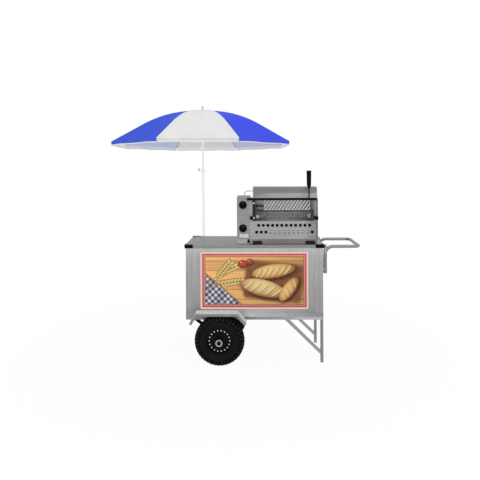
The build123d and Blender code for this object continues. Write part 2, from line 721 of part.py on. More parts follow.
def axle_brackets():
    y0 = FRONT + STRUT_INSET
    struts = [prism_along_y(strut_outline(side), y0, y0 + STRUT_DEPTH) for side in (-1, 1)]
    start = (WHEEL_PLACE, BOSS_END, AXLE_HEIGHT)
    end = (WHEEL_PLACE, FRONT + BOSS_REACH, AXLE_HEIGHT)
    boss = ring(start, end, BOSS_RADIUS, AXLE_RADIUS + PIN_PLAY)
    pieces = [boss, *struts]
    return group(*pieces, *[flipped(piece) for piece in pieces])


def fender():
    """Bent sheet over a wheel, with a flange down its outer edge."""
    left = WHEEL_PLACE + FENDER_OFFSET - FENDER_FLAT / 2
    right = left + FENDER_FLAT
    line = [
        (left - FENDER_LEFT_FLARE, FENDER_FOOT),
        (left, FENDER_TOP),
        (right, FENDER_TOP),
        (right + FENDER_RIGHT_FLARE, FENDER_FOOT),
    ]
    inner = FRONT - RAIL_PROUD
    outer = inner - FENDER_DEPTH
    sheet = prism_along_y(folded_sheet(line, FENDER_SHEET), outer, inner)
    return sheet + prism_along_y(folded_sheet(line, FENDER_FLANGE), outer, outer + FENDER_SHEET)


def fenders():
    return group(fender(), flipped(fender()))


# Legs and push handle


def brace_outline(width):
    """Outline of a brace between the base rail and the face of a leg."""
    dx = BRACE_REACH
    dz = BODY_BOTTOM - BRACE_FOOT
    length = math.hypot(dx, dz)
    corners = []
    for across in (-width / 2, width / 2):
        side_x = LEG_FACE - dx + across * dz / length
        side_z = BODY_BOTTOM + across * dx / length
        top_x = side_x + (side_z - BODY_BOTTOM) * dx / dz
        foot_z = side_z - (LEG_FACE - side_x) * dz / dx
        corners.append(((top_x, BODY_BOTTOM), (LEG_FACE, foot_z)))
    (top_a, foot_a), (top_b, foot_b) = corners
    return [top_a, foot_a, foot_b, top_b]


def legs():
    y0 = FRONT
    y1 = FRONT + POST_SIZE
    leg = box_tube(LEG_FACE, RIGHT, y0, y1, 0, BODY_BOTTOM, "Z")
    leg += block(LEG_FACE, RIGHT, y0, y1, 0, FOOT_PLATE)
    brace = prism_along_y(brace_outline(POST_SIZE), y0, y1)
    hollow = brace_outline(POST_SIZE - 2 * TUBE_WALL)
    brace -= prism_along_y(hollow, y0 + TUBE_WALL, y1 - TUBE_WALL)
    return group(leg, brace, flipped(leg), flipped(brace))


def handle_saddle(y, z):
    """Block between the side sheet and one leg of the handle."""
    half = SADDLE_WIDTH / 2
    body = block(RIGHT, HANDLE_LINE, y - half, y + half, z, z + SADDLE_HEIGHT)
    bore = HANDLE_TUBE_RADIUS + PIN_PLAY
    return body - rod((HANDLE_LINE, y, z), (HANDLE_LINE, y, z + SADDLE_HEIGHT), bore)


def push_handle():
    near = FRONT + HANDLE_SETBACK
    end = HANDLE_REACH - HANDLE_TUBE_RADIUS
    points = [
        (HANDLE_LINE, near, HANDLE_FOOT),
        (HANDLE_LINE, near, HANDLE_HEIGHT),
        (end, near, HANDLE_HEIGHT),
        (end, -near, HANDLE_HEIGHT),
        (HANDLE_LINE, -near, HANDLE_HEIGHT),
        (HANDLE_LINE, -near, HANDLE_FOOT),
    ]
    bends = [HANDLE_DROP_BEND, HANDLE_CORNER_BEND, HANDLE_CORNER_BEND, HANDLE_DROP_BEND]
    path = FilletPolyline(*points, radius=bends)
    section = Circle(HANDLE_TUBE_RADIUS) - Circle(HANDLE_TUBE_RADIUS - HANDLE_WALL)
    tube = sweep(Plane(origin=points[0], z_dir=(0, 0, 1)) * section, path=path)
    saddles = [handle_saddle(y, HANDLE_FOOT + rise) for y in (near, -near) for rise in SADDLE_RISES]
    return group(tube, *saddles)


# Gas cylinder


def gas_cylinder():
    base = FLOOR_TOP + CYLINDER_FOOT
    top = base + CYLINDER_BODY
    wall = CYLINDER_WALL
    hole = VALVE_STEM_RADIUS + PIN_PLAY
    neck = CYLINDER_RADIUS / 2
    outer = [(0, base), (neck, base), (CYLINDER_RADIUS, base + CYLINDER_DOME)]
    outer += [(CYLINDER_RADIUS, top - CYLINDER_DOME), (neck, top), (hole, top)]
    girth = CYLINDER_RADIUS - wall
    inner = [(hole, top - wall), (neck - wall, top - wall)]
    inner += [(girth, top - CYLINDER_DOME - wall / 2), (girth, base + CYLINDER_DOME + wall / 2)]
    inner += [(neck - wall, base + wall), (0, base + wall)]
    shell = turned(outer + inner)
    lift = base + CYLINDER_DOME
    shell += ring((0, 0, FLOOR_TOP), (0, 0, lift), CYLINDER_FOOT_RADIUS, CYLINDER_FOOT_RADIUS - wall)
    sink = top - CYLINDER_DOME
    crown = top + CYLINDER_COLLAR
    shell += ring((0, 0, sink), (0, 0, crown), CYLINDER_COLLAR_RADIUS, CYLINDER_COLLAR_RADIUS - wall)
    shell -= turned(inner + [(0, top - wall)])
    valve = rod((0, 0, top - 2 * wall), (0, 0, top + VALVE_RISE), VALVE_STEM_RADIUS)
    valve += rod((0, 0, top), (0, 0, top + VALVE_RISE / 2), VALVE_STEM_RADIUS + wall)
    seat = top + VALVE_RISE
    valve += rod((0, 0, seat), (0, 0, seat + REGULATOR_HEIGHT), REGULATOR_RADIUS)
    return Pos(CYLINDER_PLACE, 0, 0) * group(shell, valve)


# Umbrella


def about_pole(shape, azimuth=0.0):
    """Place a piece drawn about the Z axis round the pole, turned to a direction."""
    return Pos(POLE_PLACE, POLE_LINE, 0) * Rot(0, 0, azimuth) * shape


def umbrella_socket():
    """Tube with a floor, held off the rear sheet by two arms with flanges."""
    bore = LOWER_POLE_RADIUS + POLE_PLAY
    outer = bore + SOCKET_WALL
    top = SOCKET_BOTTOM + SOCKET_LENGTH
    body = rod((0, 0, SOCKET_BOTTOM), (0, 0, top), outer)
    wall = REAR - POLE_LINE
    for z0 in (SOCKET_BOTTOM + SOCKET_ARM_HEIGHT, top - 2 * SOCKET_ARM_HEIGHT):
        z1 = z0 + SOCKET_ARM_HEIGHT
        body += block(-SOCKET_ARM_WIDTH / 2, SOCKET_ARM_WIDTH / 2, wall, 0, z0, z1)
        rise = (SOCKET_FLANGE - SOCKET_ARM_HEIGHT) / 2
        half = SOCKET_FLANGE / 2
        body += block(-half, half, wall, wall + SOCKET_FLANGE_SHEET, z0 - rise, z1 + rise)
    return about_pole(body - rod((0, 0, SOCKET_FLOOR), (0, 0, top), bore))


def lower_pole():
    """Tube in the socket, with the clamp sleeve on its top."""
    seat = CLAMP_HEIGHT + CLAMP_SEAT
    tube = ring((0, 0, SOCKET_FLOOR), (0, 0, seat), LOWER_POLE_RADIUS, LOWER_POLE_RADIUS - POLE_WALL)
    sleeve = rod((0, 0, CLAMP_HEIGHT), (0, 0, CLAMP_TOP), CLAMP_RADIUS)
    sleeve -= rod((0, 0, CLAMP_HEIGHT), (0, 0, seat), LOWER_POLE_RADIUS + PIN_PLAY)
    sleeve -= rod((0, 0, seat), (0, 0, CLAMP_TOP), UPPER_POLE_RADIUS + SLIDE_PLAY)
    z = CLAMP_HEIGHT + CLAMP_SCREW_RISE
    sleeve -= rod((0, 0, z), (-CLAMP_RADIUS - CLAMP_WALL, 0, z), CLAMP_SCREW_RADIUS + PIN_PLAY)
    return about_pole(group(tube, sleeve))


def clamp_knob():
    """Screw through the sleeve's side, with a winged head."""
    z = CLAMP_HEIGHT + CLAMP_SCREW_RISE
    head = CLAMP_RADIUS + CLAMP_SCREW_LENGTH
    screw = rod((-UPPER_POLE_RADIUS - 2 * SLIDE_PLAY, 0, z), (-head, 0, z), CLAMP_SCREW_RADIUS)
    tip = head + CLAMP_KNOB_LENGTH
    knob = rod((-head, 0, z), (-tip, 0, z), CLAMP_KNOB_RADIUS / 2)
    half = CLAMP_KNOB_LENGTH / 2
    wing = CLAMP_SCREW_RADIUS
    knob += block(-tip, -head, -wing, wing, z - CLAMP_KNOB_RADIUS, z + CLAMP_KNOB_RADIUS)
    knob += rod((-head, 0, z), (half - tip, 0, z), CLAMP_KNOB_RADIUS * 2 / 3)
    return about_pole(screw + knob)


def slotted_hub(radius, hinge_height, below, above, slot_width, offset):
    """Disc with a slot and a cross pin for every rib or stretcher."""
    z0 = hinge_height - below
    z1 = hinge_height + above
    hub = rod((0, 0, z0), (0, 0, z1), radius)
    half = slot_width / 2
    slot = block(SLOT_ROOT, radius + slot_width, offset - half, offset + half, z0, z1)
    y0 = offset - PIVOT_PIN_LENGTH / 2
    pin = rod(
        (CROWN_HINGE_RADIUS, y0, hinge_height),
        (CROWN_HINGE_RADIUS, y0 + PIVOT_PIN_LENGTH, hinge_height),
        PIVOT_PIN_RADIUS,
    )
    for azimuth in rib_azimuths():
        hub -= Rot(0, 0, azimuth) * slot
    for azimuth in rib_azimuths():
        hub += Rot(0, 0, azimuth) * pin
    return hub


def finial():
    """Turned top piece, with its base on the canopy and its stud in the pole."""
    stud = UPPER_POLE_RADIUS - POLE_WALL - SLIDE_PLAY
    base = CANOPY_TOP + SLIDE_PLAY
    neck = base + FINIAL_BASE
    tip = base + FINIAL_RISE
    knob = FINIAL_KNOB_RADIUS
    foot = base - FINIAL_STUD
    points = [(0, foot), (stud, foot), (stud, base), (FINIAL_BASE_RADIUS, base), (FINIAL_BASE_RADIUS, neck)]
    points += [(knob, neck + FINIAL_BASE), (knob, tip - knob), (knob / 2, tip), (0, tip)]
    return turned(points)


def upper_pole():
    """Thin tube with the crown round its top and the finial in its end."""
    tube = ring((0, 0, UPPER_POLE_FOOT), (0, 0, CROWN_TOP), UPPER_POLE_RADIUS, UPPER_POLE_RADIUS - POLE_WALL)
    slot = RIB_SIZE + 2 * SLOT_PLAY
    crown = slotted_hub(CROWN_RADIUS, CROWN_HINGE_HEIGHT, CROWN_BELOW_HINGE, CROWN_ABOVE_HINGE, slot, 0)
    bottom = CROWN_HINGE_HEIGHT - CROWN_BELOW_HINGE
    crown -= rod((0, 0, bottom), (0, 0, CROWN_TOP), UPPER_POLE_RADIUS + PIN_PLAY)
    return about_pole(group(tube, crown, finial()))


def runner():
    """Sliding hub that carries the stretchers."""
    half = RUNNER_HUB_HEIGHT / 2
    slot = STRETCHER_SHEET + 2 * SLOT_PLAY
    hub = slotted_hub(CROWN_RADIUS, RUNNER_HINGE_HEIGHT, half, half, slot, STRETCHER_OFFSET)
    bottom = RUNNER_HINGE_HEIGHT - half - RUNNER_SLEEVE
    bore = UPPER_POLE_RADIUS + SLIDE_PLAY
    hub += rod((0, 0, bottom), (0, 0, RUNNER_HINGE_HEIGHT - half), bore + RUNNER_SLEEVE_WALL)
    return about_pole(hub - rod((0, 0, bottom), (0, 0, RUNNER_HINGE_HEIGHT + half), bore))


def arc_point(angle, lift=0.0):
    """Radius and height of a point on the ribs' arc, at an angle from its top."""
    radius = RIB_ARC_RADIUS + lift
    turn = math.radians(angle)
    return (CROWN_HINGE_RADIUS + radius * math.sin(turn), ARC_CENTRE_HEIGHT + radius * math.cos(turn))


def slope_height(reach, lift=0.0):
    """Height of the straight outer run of the ribs at a distance from the pole."""
    start, height = arc_point(RIB_ARC_ANGLE, lift)
    return height - (reach - start) * math.tan(math.radians(RIB_ARC_ANGLE))


def rib():
    """Square bar, bent to an arc and then straight, with an eye at the crown."""
    half = RIB_SIZE / 2
    lean = math.radians(RIB_ARC_ANGLE)
    run = (RIB_REACH - arc_point(RIB_ARC_ANGLE)[0]) / math.cos(lean)
    sides = []
    for lift in (half, -half):
        start, middle, end = [arc_point(RIB_ARC_ANGLE * share / 2, lift) for share in range(3)]
        tip = (end[0] + run * math.cos(lean), end[1] - run * math.sin(lean))
        sides.append((start, middle, end, tip))
    (a0, a1, a2, a3), (b0, b1, b2, b3) = sides
    outline = [ThreePointArc(a0, a1, a2), Line(a2, a3), Line(a3, b3), Line(b3, b2), ThreePointArc(b2, b1, b0)]
    bar = extrude(Plane.XZ * make_face(outline + [Line(b0, a0)]), half, both=True)
    eye = (CROWN_HINGE_RADIUS, CROWN_HINGE_HEIGHT)
    bar += rod((eye[0], -half, eye[1]), (eye[0], half, eye[1]), RIB_EYE_RADIUS)
    return bar - rod((eye[0], -half, eye[1]), (eye[0], half, eye[1]), PIVOT_PIN_RADIUS + PIN_PLAY)


def stretcher():
    """Flat bar from the runner up to the side of its rib, with an eye at each end."""
    x0, z0 = CROWN_HINGE_RADIUS, RUNNER_HINGE_HEIGHT
    x1, z1 = arc_point(STRETCHER_ANGLE, -STRETCHER_DROP)
    length = math.hypot(x1 - x0, z1 - z0)
    nx = -(z1 - z0) / length * STRETCHER_WIDTH / 2
    nz = (x1 - x0) / length * STRETCHER_WIDTH / 2
    corners = [(x0 + nx, z0 + nz), (x1 + nx, z1 + nz), (x1 - nx, z1 - nz), (x0 - nx, z0 - nz)]
    y0 = STRETCHER_OFFSET - STRETCHER_SHEET / 2
    y1 = y0 + STRETCHER_SHEET
    bar = prism_along_y(corners, y0, y1)
    for x, z in ((x0, z0), (x1, z1)):
        bar += rod((x, y0, z), (x, y1, z), RIB_EYE_RADIUS)
    for x, z in ((x0, z0), (x1, z1)):
        bar -= rod((x, y0, z), (x, y1, z), PIVOT_PIN_RADIUS + PIN_PLAY)
    return bar


def gore():
    """One panel of the canopy with its skirt, about the +X direction."""
    rim_reach = RIB_REACH + CANOPY_OVERHANG
    surfaces = []
    for lift in (CANOPY_LIFT, CANOPY_LIFT + CANOPY_SHEET):
        top = ARC_CENTRE_HEIGHT + RIB_ARC_RADIUS + lift
        arc = [arc_point(RIB_ARC_ANGLE * share / 2, lift) for share in range(3)]
        surfaces.append([(CANOPY_HOLE, top)] + arc)
    under, over = [[(reach * GORE_COSINE, z) for reach, z in surface] for surface in surfaces]
    inner = rim_reach * GORE_COSINE
    outer = inner + CANOPY_SHEET
    rim_under = slope_height(rim_reach, CANOPY_LIFT)
    rim_over = slope_height(outer / GORE_COSINE, CANOPY_LIFT + CANOPY_SHEET)
    hem = rim_under - SKIRT_DROP
    outline = [
        Line(under[0], under[1]),
        ThreePointArc(*under[1:]),
        Line(under[3], (inner, rim_under)),
        Line((inner, rim_under), (inner, hem)),
        Line((inner, hem), (outer, hem)),
        Line((outer, hem), (outer, rim_over)),
        Line((outer, rim_over), over[3]),
        ThreePointArc(over[3], over[2], over[1]),
        Line(over[1], over[0]),
        Line(over[0], under[0]),
    ]
    sheet = extrude(Plane.XZ * make_face(outline), CANOPY_REACH, both=True)
    half = math.radians(GORE_ANGLE / 2)
    apex = SEAM_GAP / 2 / math.sin(half)
    wide = CANOPY_REACH * math.tan(half)
    wedge = Polygon((apex, 0), (apex + CANOPY_REACH, wide), (apex + CANOPY_REACH, -wide), align=None)
    return sheet & Pos(0, 0, hem) * extrude(wedge, CANOPY_TOP - hem, dir=(0, 0, 1))


def canopy(first):
    """Every second gore, from the first one."""
    places = range(first, GORE_COUNT, 2)
    panel = gore()
    start = UMBRELLA_TURN - 90.0
    return group(*[about_pole(panel, start + GORE_ANGLE * place) for place in places])


# Oven


def oven_casing():
    """Base pan with an apron behind the front feet, walls, deck, ceiling and the stiles of the oven's mouth."""
    front = OVEN_FRONT + OVEN_PLINTH_SETBACK
    pan = block(BOX_LEFT, OVEN_RIGHT, front, OVEN_REAR, OVEN_BASE, OVEN_BOTTOM)
    pan -= block(
        BOX_LEFT + OVEN_SHEET,
        OVEN_INNER_RIGHT,
        front + OVEN_SHEET,
        OVEN_INNER_REAR,
        OVEN_BASE + OVEN_SHEET,
        OVEN_BOTTOM,
    )
    apron = OVEN_FRONT + OVEN_FOOT_DEPTH + OVEN_SKIRT_GAP
    pan += block(BOX_LEFT, OVEN_RIGHT, apron, apron + OVEN_SHEET, COUNTER_HEIGHT + OVEN_SKIRT_GAP, OVEN_BASE)
    walls = [
        block(x0, x0 + OVEN_SHEET, OVEN_INNER_FRONT, OVEN_INNER_REAR, OVEN_BOTTOM, OVEN_TOP)
        for x0 in (OVEN_LEFT, OVEN_INNER_RIGHT)
    ]
    back = block(OVEN_LEFT, OVEN_RIGHT, OVEN_INNER_REAR, OVEN_REAR, OVEN_BOTTOM, OVEN_TOP)
    levels = [
        block(OVEN_INNER_LEFT, OVEN_INNER_RIGHT, OVEN_INNER_FRONT, OVEN_INNER_REAR, z1 - OVEN_SHEET, z1)
        for z1 in (DECK_TOP, OVEN_TOP)
    ]
    stiles = [
        block(x0, x1, OVEN_FRONT, OVEN_INNER_FRONT, DECK_TOP, OVEN_TOP)
        for x0, x1 in ((OVEN_LEFT, OVEN_LEFT + STILE_LEFT), (OVEN_RIGHT - STILE_RIGHT, OVEN_RIGHT))
    ]
    return group(pan, back, *walls, *levels, *stiles)


def oven_feet():
    pieces = []
    for x0 in (OVEN_LEFT + OVEN_FOOT_INSET, OVEN_RIGHT - OVEN_FOOT_INSET - OVEN_FOOT_LENGTH):
        for y0 in (OVEN_FRONT, OVEN_REAR - OVEN_FOOT_DEPTH):
            y1 = y0 + OVEN_FOOT_DEPTH
            pieces.append(block(x0, x0 + OVEN_FOOT_LENGTH, y0, y1, COUNTER_HEIGHT, OVEN_BASE))
    return group(*pieces)


def vent_panel():
    sheet = block(OVEN_LEFT, OVEN_RIGHT, OVEN_FRONT, OVEN_INNER_FRONT, OVEN_BOTTOM, DECK_TOP)
    rows = (
        (VENT_UPPER_COUNT, VENT_UPPER_START, VENT_UPPER_RISE),
        (VENT_LOWER_COUNT, VENT_LOWER_START, VENT_LOWER_RISE),
    )
    for count, start, rise in rows:
        z = OVEN_BOTTOM + rise
        for place in range(count):
            x = start + VENT_PITCH * place
            sheet -= rod((x, OVEN_FRONT, z), (x, OVEN_INNER_FRONT, z), VENT_HOLE_RADIUS)
    return sheet


def hood():
    """Folded cover on the oven's ceiling, closed at both ends."""
    line = [
        (OVEN_REAR, OVEN_TOP),
        (OVEN_REAR, OVEN_TOP + HOOD_REAR_WALL),
        (OVEN_REAR - HOOD_REAR_SLOPE, OVEN_TOP + HOOD_HEIGHT),
        (OVEN_FRONT + HOOD_TOP_SETBACK, OVEN_TOP + HOOD_HEIGHT),
        (OVEN_FRONT + HOOD_FOLD_SETBACK, OVEN_TOP + HOOD_FOLD_RISE),
        (OVEN_FRONT + HOOD_FRONT_SETBACK, OVEN_TOP),
    ]
    cover = prism_along_x(line, HOOD_LEFT, HOOD_RIGHT)
    inner = beside(line, -OVEN_SHEET)
    inner[0] = (inner[0][0], OVEN_TOP)
    drop = inner[-1][1] - OVEN_TOP
    run = (inner[-2][0] - inner[-1][0]) / (inner[-2][1] - inner[-1][1])
    inner[-1] = (inner[-1][0] - drop * run, OVEN_TOP)
    return cover - prism_along_x(inner, HOOD_LEFT + OVEN_SHEET, HOOD_RIGHT - OVEN_SHEET)


def knob_heights():
    return (KNOB_UPPER_HEIGHT, KNOB_LOWER_HEIGHT)


def control_box():
    """Folded box beside the oven, open below, with a hole for each valve spindle."""
    top = OVEN_BOTTOM + BOX_HEIGHT
    rear = OVEN_FRONT + BOX_DEPTH
    box = block(BOX_LEFT, OVEN_LEFT, OVEN_FRONT, rear, OVEN_BOTTOM, top)
    box -= block(
        BOX_LEFT + OVEN_SHEET,
        OVEN_LEFT - OVEN_SHEET,
        OVEN_INNER_FRONT,
        rear - OVEN_SHEET,
        OVEN_BOTTOM,
        top - OVEN_SHEET,
    )
    for z in knob_heights():
        box -= rod((KNOB_PLACE, OVEN_FRONT, z), (KNOB_PLACE, OVEN_INNER_FRONT, z), SPINDLE_HOLE_RADIUS)
    return box


def gas_valve(z):
    """Valve body behind the box's front, with its spindle through the hole."""
    end = OVEN_INNER_FRONT + VALVE_BODY_DEPTH
    valve = rod((KNOB_PLACE, OVEN_INNER_FRONT, z), (KNOB_PLACE, end, z), VALVE_BODY_RADIUS)
    tip = OVEN_FRONT - KNOB_STANDOFF - KNOB_BORE_DEPTH + FIT_PLAY
    return valve + rod((KNOB_PLACE, tip, z), (KNOB_PLACE, OVEN_INNER_FRONT, z), VALVE_SPINDLE_RADIUS)


def gas_fittings():
    """Both valves, the thin pipe over to the hood, and the inlet pipe up from the counter."""
    y = OVEN_FRONT + PIPE_SETBACK
    start = OVEN_BOTTOM + BOX_HEIGHT
    points = [(PIPE_PLACE, y, start), (PIPE_PLACE, y, start + PIPE_RISE), (HOOD_LEFT, y, start + PIPE_RISE)]
    path = FilletPolyline(*points, radius=PIPE_BEND)
    pipe = sweep(Plane(origin=points[0], z_dir=(0, 0, 1)) * Circle(PIPE_RADIUS), path=path)
    inlet_y = OVEN_FRONT + INLET_SETBACK
    inlet = rod(
        (INLET_PLACE, inlet_y, COUNTER_HEIGHT), (INLET_PLACE, inlet_y, OVEN_BOTTOM + INLET_RISE), INLET_RADIUS
    )
    return group(pipe, inlet, *[gas_valve(z) for z in knob_heights()])


def gas_knob(z):
    """Round knob with a grip ridge, bored for its spindle."""
    back = OVEN_FRONT - KNOB_STANDOFF
    face = back - KNOB_DEPTH
    tip = face - KNOB_GRIP_DEPTH
    body = turned([(0, 0), (KNOB_RADIUS, 0), (KNOB_TIP_RADIUS, KNOB_DEPTH), (0, KNOB_DEPTH)])
    knob = Plane(origin=(KNOB_PLACE, back, z), z_dir=(0, -1, 0)) * body
    half = KNOB_GRIP_WIDTH / 2
    reach = math.sqrt(KNOB_TIP_RADIUS**2 - half**2)
    knob += block(KNOB_PLACE - half, KNOB_PLACE + half, tip, face, z - reach, z + reach)
    bore = VALVE_SPINDLE_RADIUS + PIN_PLAY
    return knob - rod((KNOB_PLACE, back, z), (KNOB_PLACE, back - KNOB_BORE_DEPTH, z), bore)


def burners():
    """Lower tube behind the vent holes, with its feed and its foot on the pan, and the tube inside the hood."""
    y = OVEN_FRONT + BURNER_SETBACK
    z = OVEN_BOTTOM + VENT_LOWER_RISE
    lower = rod((BURNER_LEFT, y, z), (BURNER_RIGHT, y, z), BURNER_RADIUS)
    lower += rod((OVEN_INNER_LEFT, y, z), (BURNER_LEFT, y, z), BURNER_FEED_RADIUS)
    x1 = BURNER_RIGHT - BURNER_RADIUS
    pan = OVEN_FRONT + OVEN_PLINTH_SETBACK
    lower += block(x1 - BURNER_FOOT, x1, pan, pan + OVEN_SHEET, OVEN_BOTTOM, z)
    hood_y = OVEN_FRONT + PIPE_SETBACK
    hood_z = OVEN_TOP + UPPER_BURNER_RISE
    start = (HOOD_LEFT + OVEN_SHEET, hood_y, hood_z)
    upper = rod(start, (HOOD_RIGHT - OVEN_SHEET, hood_y, hood_z), BURNER_RADIUS)
    return group(lower, upper)


def wire_tray():
    y0 = OVEN_FRONT + TRAY_FRONT_SETBACK
    y1 = OVEN_REAR - TRAY_REAR_SETBACK
    top = DECK_TOP + TRAY_HEIGHT
    tray = block(TRAY_LEFT, TRAY_RIGHT, y0, y1, DECK_TOP, top)
    return tray - block(
        TRAY_LEFT + TRAY_SHEET,
        TRAY_RIGHT - TRAY_SHEET,
        y0 + TRAY_SHEET,
        y1 - TRAY_SHEET,
        DECK_TOP + TRAY_SHEET,
        top,
    )


def mesh_screen():
    y0 = OVEN_FRONT + SCREEN_SETBACK
    bottom = DECK_TOP + TRAY_HEIGHT + FIT_PLAY
    return block(SCREEN_LEFT, SCREEN_RIGHT, y0, y0 + SCREEN_SHEET, bottom, OVEN_TOP - OVEN_SHEET)


def pivot_block(x0, x1, pin_end):
    """Block on a stile with the pin that carries one arm of the door."""
    y, z = DOOR_PIVOT_LINE, DOOR_PIVOT_HEIGHT
    half = PIVOT_BLOCK_SIZE / 2
    start = x1 if pin_end > x1 else x0
    body = block(x0, x1, y - half, OVEN_FRONT, z - half, z + half)
    return body + rod((start, y, z), (pin_end, y, z), DOOR_PIVOT_RADIUS)


def door_pivots():
    left = pivot_block(OVEN_LEFT, ARM_LEFT - FIT_PLAY, ARM_LEFT + DOOR_PIVOT_REACH)
    right = pivot_block(ARM_RIGHT + FIT_PLAY, OVEN_RIGHT, ARM_RIGHT - DOOR_PIVOT_REACH)
    return group(left, right)


def door_arm(x0):
    y0 = DOOR_PIVOT_LINE - ARM_AHEAD_OF_PIVOT
    z0 = DOOR_PIVOT_HEIGHT - ARM_BELOW_PIVOT
    arm = block(x0, x0 + ARM_WIDTH, y0, y0 + ARM_DEPTH, z0, BAR_BOTTOM)
    y, z = DOOR_PIVOT_LINE, DOOR_PIVOT_HEIGHT
    return arm - rod((x0, y, z), (x0 + ARM_WIDTH, y, z), DOOR_PIVOT_RADIUS + PIN_PLAY)


def oven_door():
    """Crossbar, two arms and the lever rod."""
    y1 = OVEN_FRONT - BAR_BACK_GAP
    bar = block(BAR_LEFT, BAR_RIGHT, y1 - BAR_DEPTH, y1, BAR_BOTTOM, BAR_TOP)
    y = y1 - BAR_DEPTH / 2
    lever = rod((LEVER_PLACE, y, BAR_TOP), (LEVER_PLACE, y, BAR_TOP + LEVER_RISE), LEVER_RADIUS)
    return group(bar, lever, door_arm(ARM_LEFT), door_arm(ARM_RIGHT - ARM_WIDTH))


def door_pane():
    y1 = OVEN_FRONT - PANE_BACK_GAP
    return block(ARM_LEFT + ARM_WIDTH, ARM_RIGHT - ARM_WIDTH, y1 - PANE_SHEET, y1, PANE_BOTTOM, BAR_BOTTOM)


def lever_grip():
    y = OVEN_FRONT - BAR_BACK_GAP - BAR_DEPTH / 2
    points = [(0, 0), (GRIP_FOOT_RADIUS, 0), (GRIP_BODY_RADIUS, GRIP_TAPER)]
    points += [(GRIP_TIP_RADIUS, GRIP_LENGTH - GRIP_TAPER), (GRIP_TIP_RADIUS, GRIP_LENGTH), (0, GRIP_LENGTH)]
    return Pos(LEVER_PLACE, y, BAR_TOP + LEVER_RISE) * turned(points)


def nodes():
    """Every node of the cart by its name."""
    made = {
        "cabinet_frame": cabinet_frame(),
        "front_panel": front_panel(),
        "side_panels": side_panels(),
        "rear_panel": rear_panel(),
        "floor_panel": floor_panel(),
        "counter_top": counter_top(),
        "corner_protectors": corner_protectors(),
        "poster_panel": poster_panel(),
        "fenders": fenders(),
        "axle_brackets": axle_brackets(),
        "axle": axle(),
        "legs": legs(),
        "push_handle": push_handle(),
        "umbrella_socket": umbrella_socket(),
        "gas_cylinder": gas_cylinder(),
        "lower_pole": lower_pole(),
        "clamp_knob": clamp_knob(),
        "upper_pole": upper_pole(),
        "runner": runner(),
        "canopy_white": canopy(0),
        "canopy_blue": canopy(1),
        "oven_casing": oven_casing(),
        "oven_feet": oven_feet(),
        "vent_panel": vent_panel(),
        "hood": hood(),
        "control_box": control_box(),
        "gas_fittings": gas_fittings(),
        "upper_knob": gas_knob(KNOB_UPPER_HEIGHT),
        "lower_knob": gas_knob(KNOB_LOWER_HEIGHT),
        "burners": burners(),
        "wire_tray": wire_tray(),
        "mesh_screen": mesh_screen(),
        "door_pivots": door_pivots(),
        "oven_door": oven_door(),
        "door_pane": door_pane(),
        "lever_grip": lever_grip(),
    }
    for name, (x, way) in zip(("left_door", "right_door"), hinge_lines()):
        made[name] = rear_door(x, way)
    for name, piece in (("tyre", tyre()), ("rim", rim()), ("rim_bolts", rim_bolts())):
        made["front_" + name] = front_wheel(piece)
        made["rear_" + name] = flipped(front_wheel(piece))
    for place, azimuth in enumerate(rib_azimuths(), start=1):
        made[f"rib_{place}"] = about_pole(rib(), azimuth)
        made[f"stretcher_{place}"] = about_pole(stretcher(), azimuth)
    return made


def main():
    os.makedirs("parts", exist_ok=True)
    for name, shape in nodes().items():
        export_step(Pos(-ORIGIN_X, -ORIGIN_Y, 0) * shape, f"parts/{name}.step")


if __name__ == "__main__":
    main()
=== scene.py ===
import cmath
import math

import bmesh
import bpy
import numpy as np
from mathutils import Matrix, Vector


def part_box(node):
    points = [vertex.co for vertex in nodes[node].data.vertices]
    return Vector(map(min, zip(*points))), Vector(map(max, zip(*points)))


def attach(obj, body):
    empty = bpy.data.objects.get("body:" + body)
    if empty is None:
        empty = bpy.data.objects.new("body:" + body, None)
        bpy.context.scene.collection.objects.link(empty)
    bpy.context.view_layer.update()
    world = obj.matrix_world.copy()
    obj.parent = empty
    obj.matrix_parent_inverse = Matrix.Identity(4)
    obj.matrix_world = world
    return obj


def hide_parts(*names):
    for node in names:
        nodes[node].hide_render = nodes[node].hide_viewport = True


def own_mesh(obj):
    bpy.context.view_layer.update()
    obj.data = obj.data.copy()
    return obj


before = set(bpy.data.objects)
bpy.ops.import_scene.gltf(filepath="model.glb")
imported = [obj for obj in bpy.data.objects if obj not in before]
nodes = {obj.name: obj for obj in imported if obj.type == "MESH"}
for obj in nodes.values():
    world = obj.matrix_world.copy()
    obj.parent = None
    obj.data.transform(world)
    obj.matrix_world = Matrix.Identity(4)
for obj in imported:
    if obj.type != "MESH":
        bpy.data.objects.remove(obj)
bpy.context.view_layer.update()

# The cart's own axes in millimetres: X from the middle of the counter, Y from the middle of the cabinet, Z up
COUNTER_REACH = 0.247  # metres from the cabinet's middle to the counter's front edge
counter_low, counter_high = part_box("counter_top")
MIDDLE_X = (counter_low.x + counter_high.x) / 2
MIDDLE_Y = counter_low.y + COUNTER_REACH
AXLE_X, AXLE_Z = -265.0, 190.0
CABINET_END, CABINET_FACE = 528, 233  # half of the cabinet's length and depth


def at(x, y, z):
    """A point of the cart's axes in the scene."""
    return Vector((MIDDLE_X + x / 1000, MIDDLE_Y + y / 1000, z / 1000))


def cart_axes(spot):
    """A point of the scene in the cart's axes."""
    return (spot.x - MIDDLE_X) * 1000, (spot.y - MIDDLE_Y) * 1000, spot.z * 1000


def limits(node):
    """Lowest and highest corner of a node in the cart's axes."""
    low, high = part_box(node)
    return cart_axes(low), cart_axes(high)


def linked(name, data):
    """A new object in the scene."""
    obj = bpy.data.objects.new(name, data)
    bpy.context.scene.collection.objects.link(obj)
    return obj


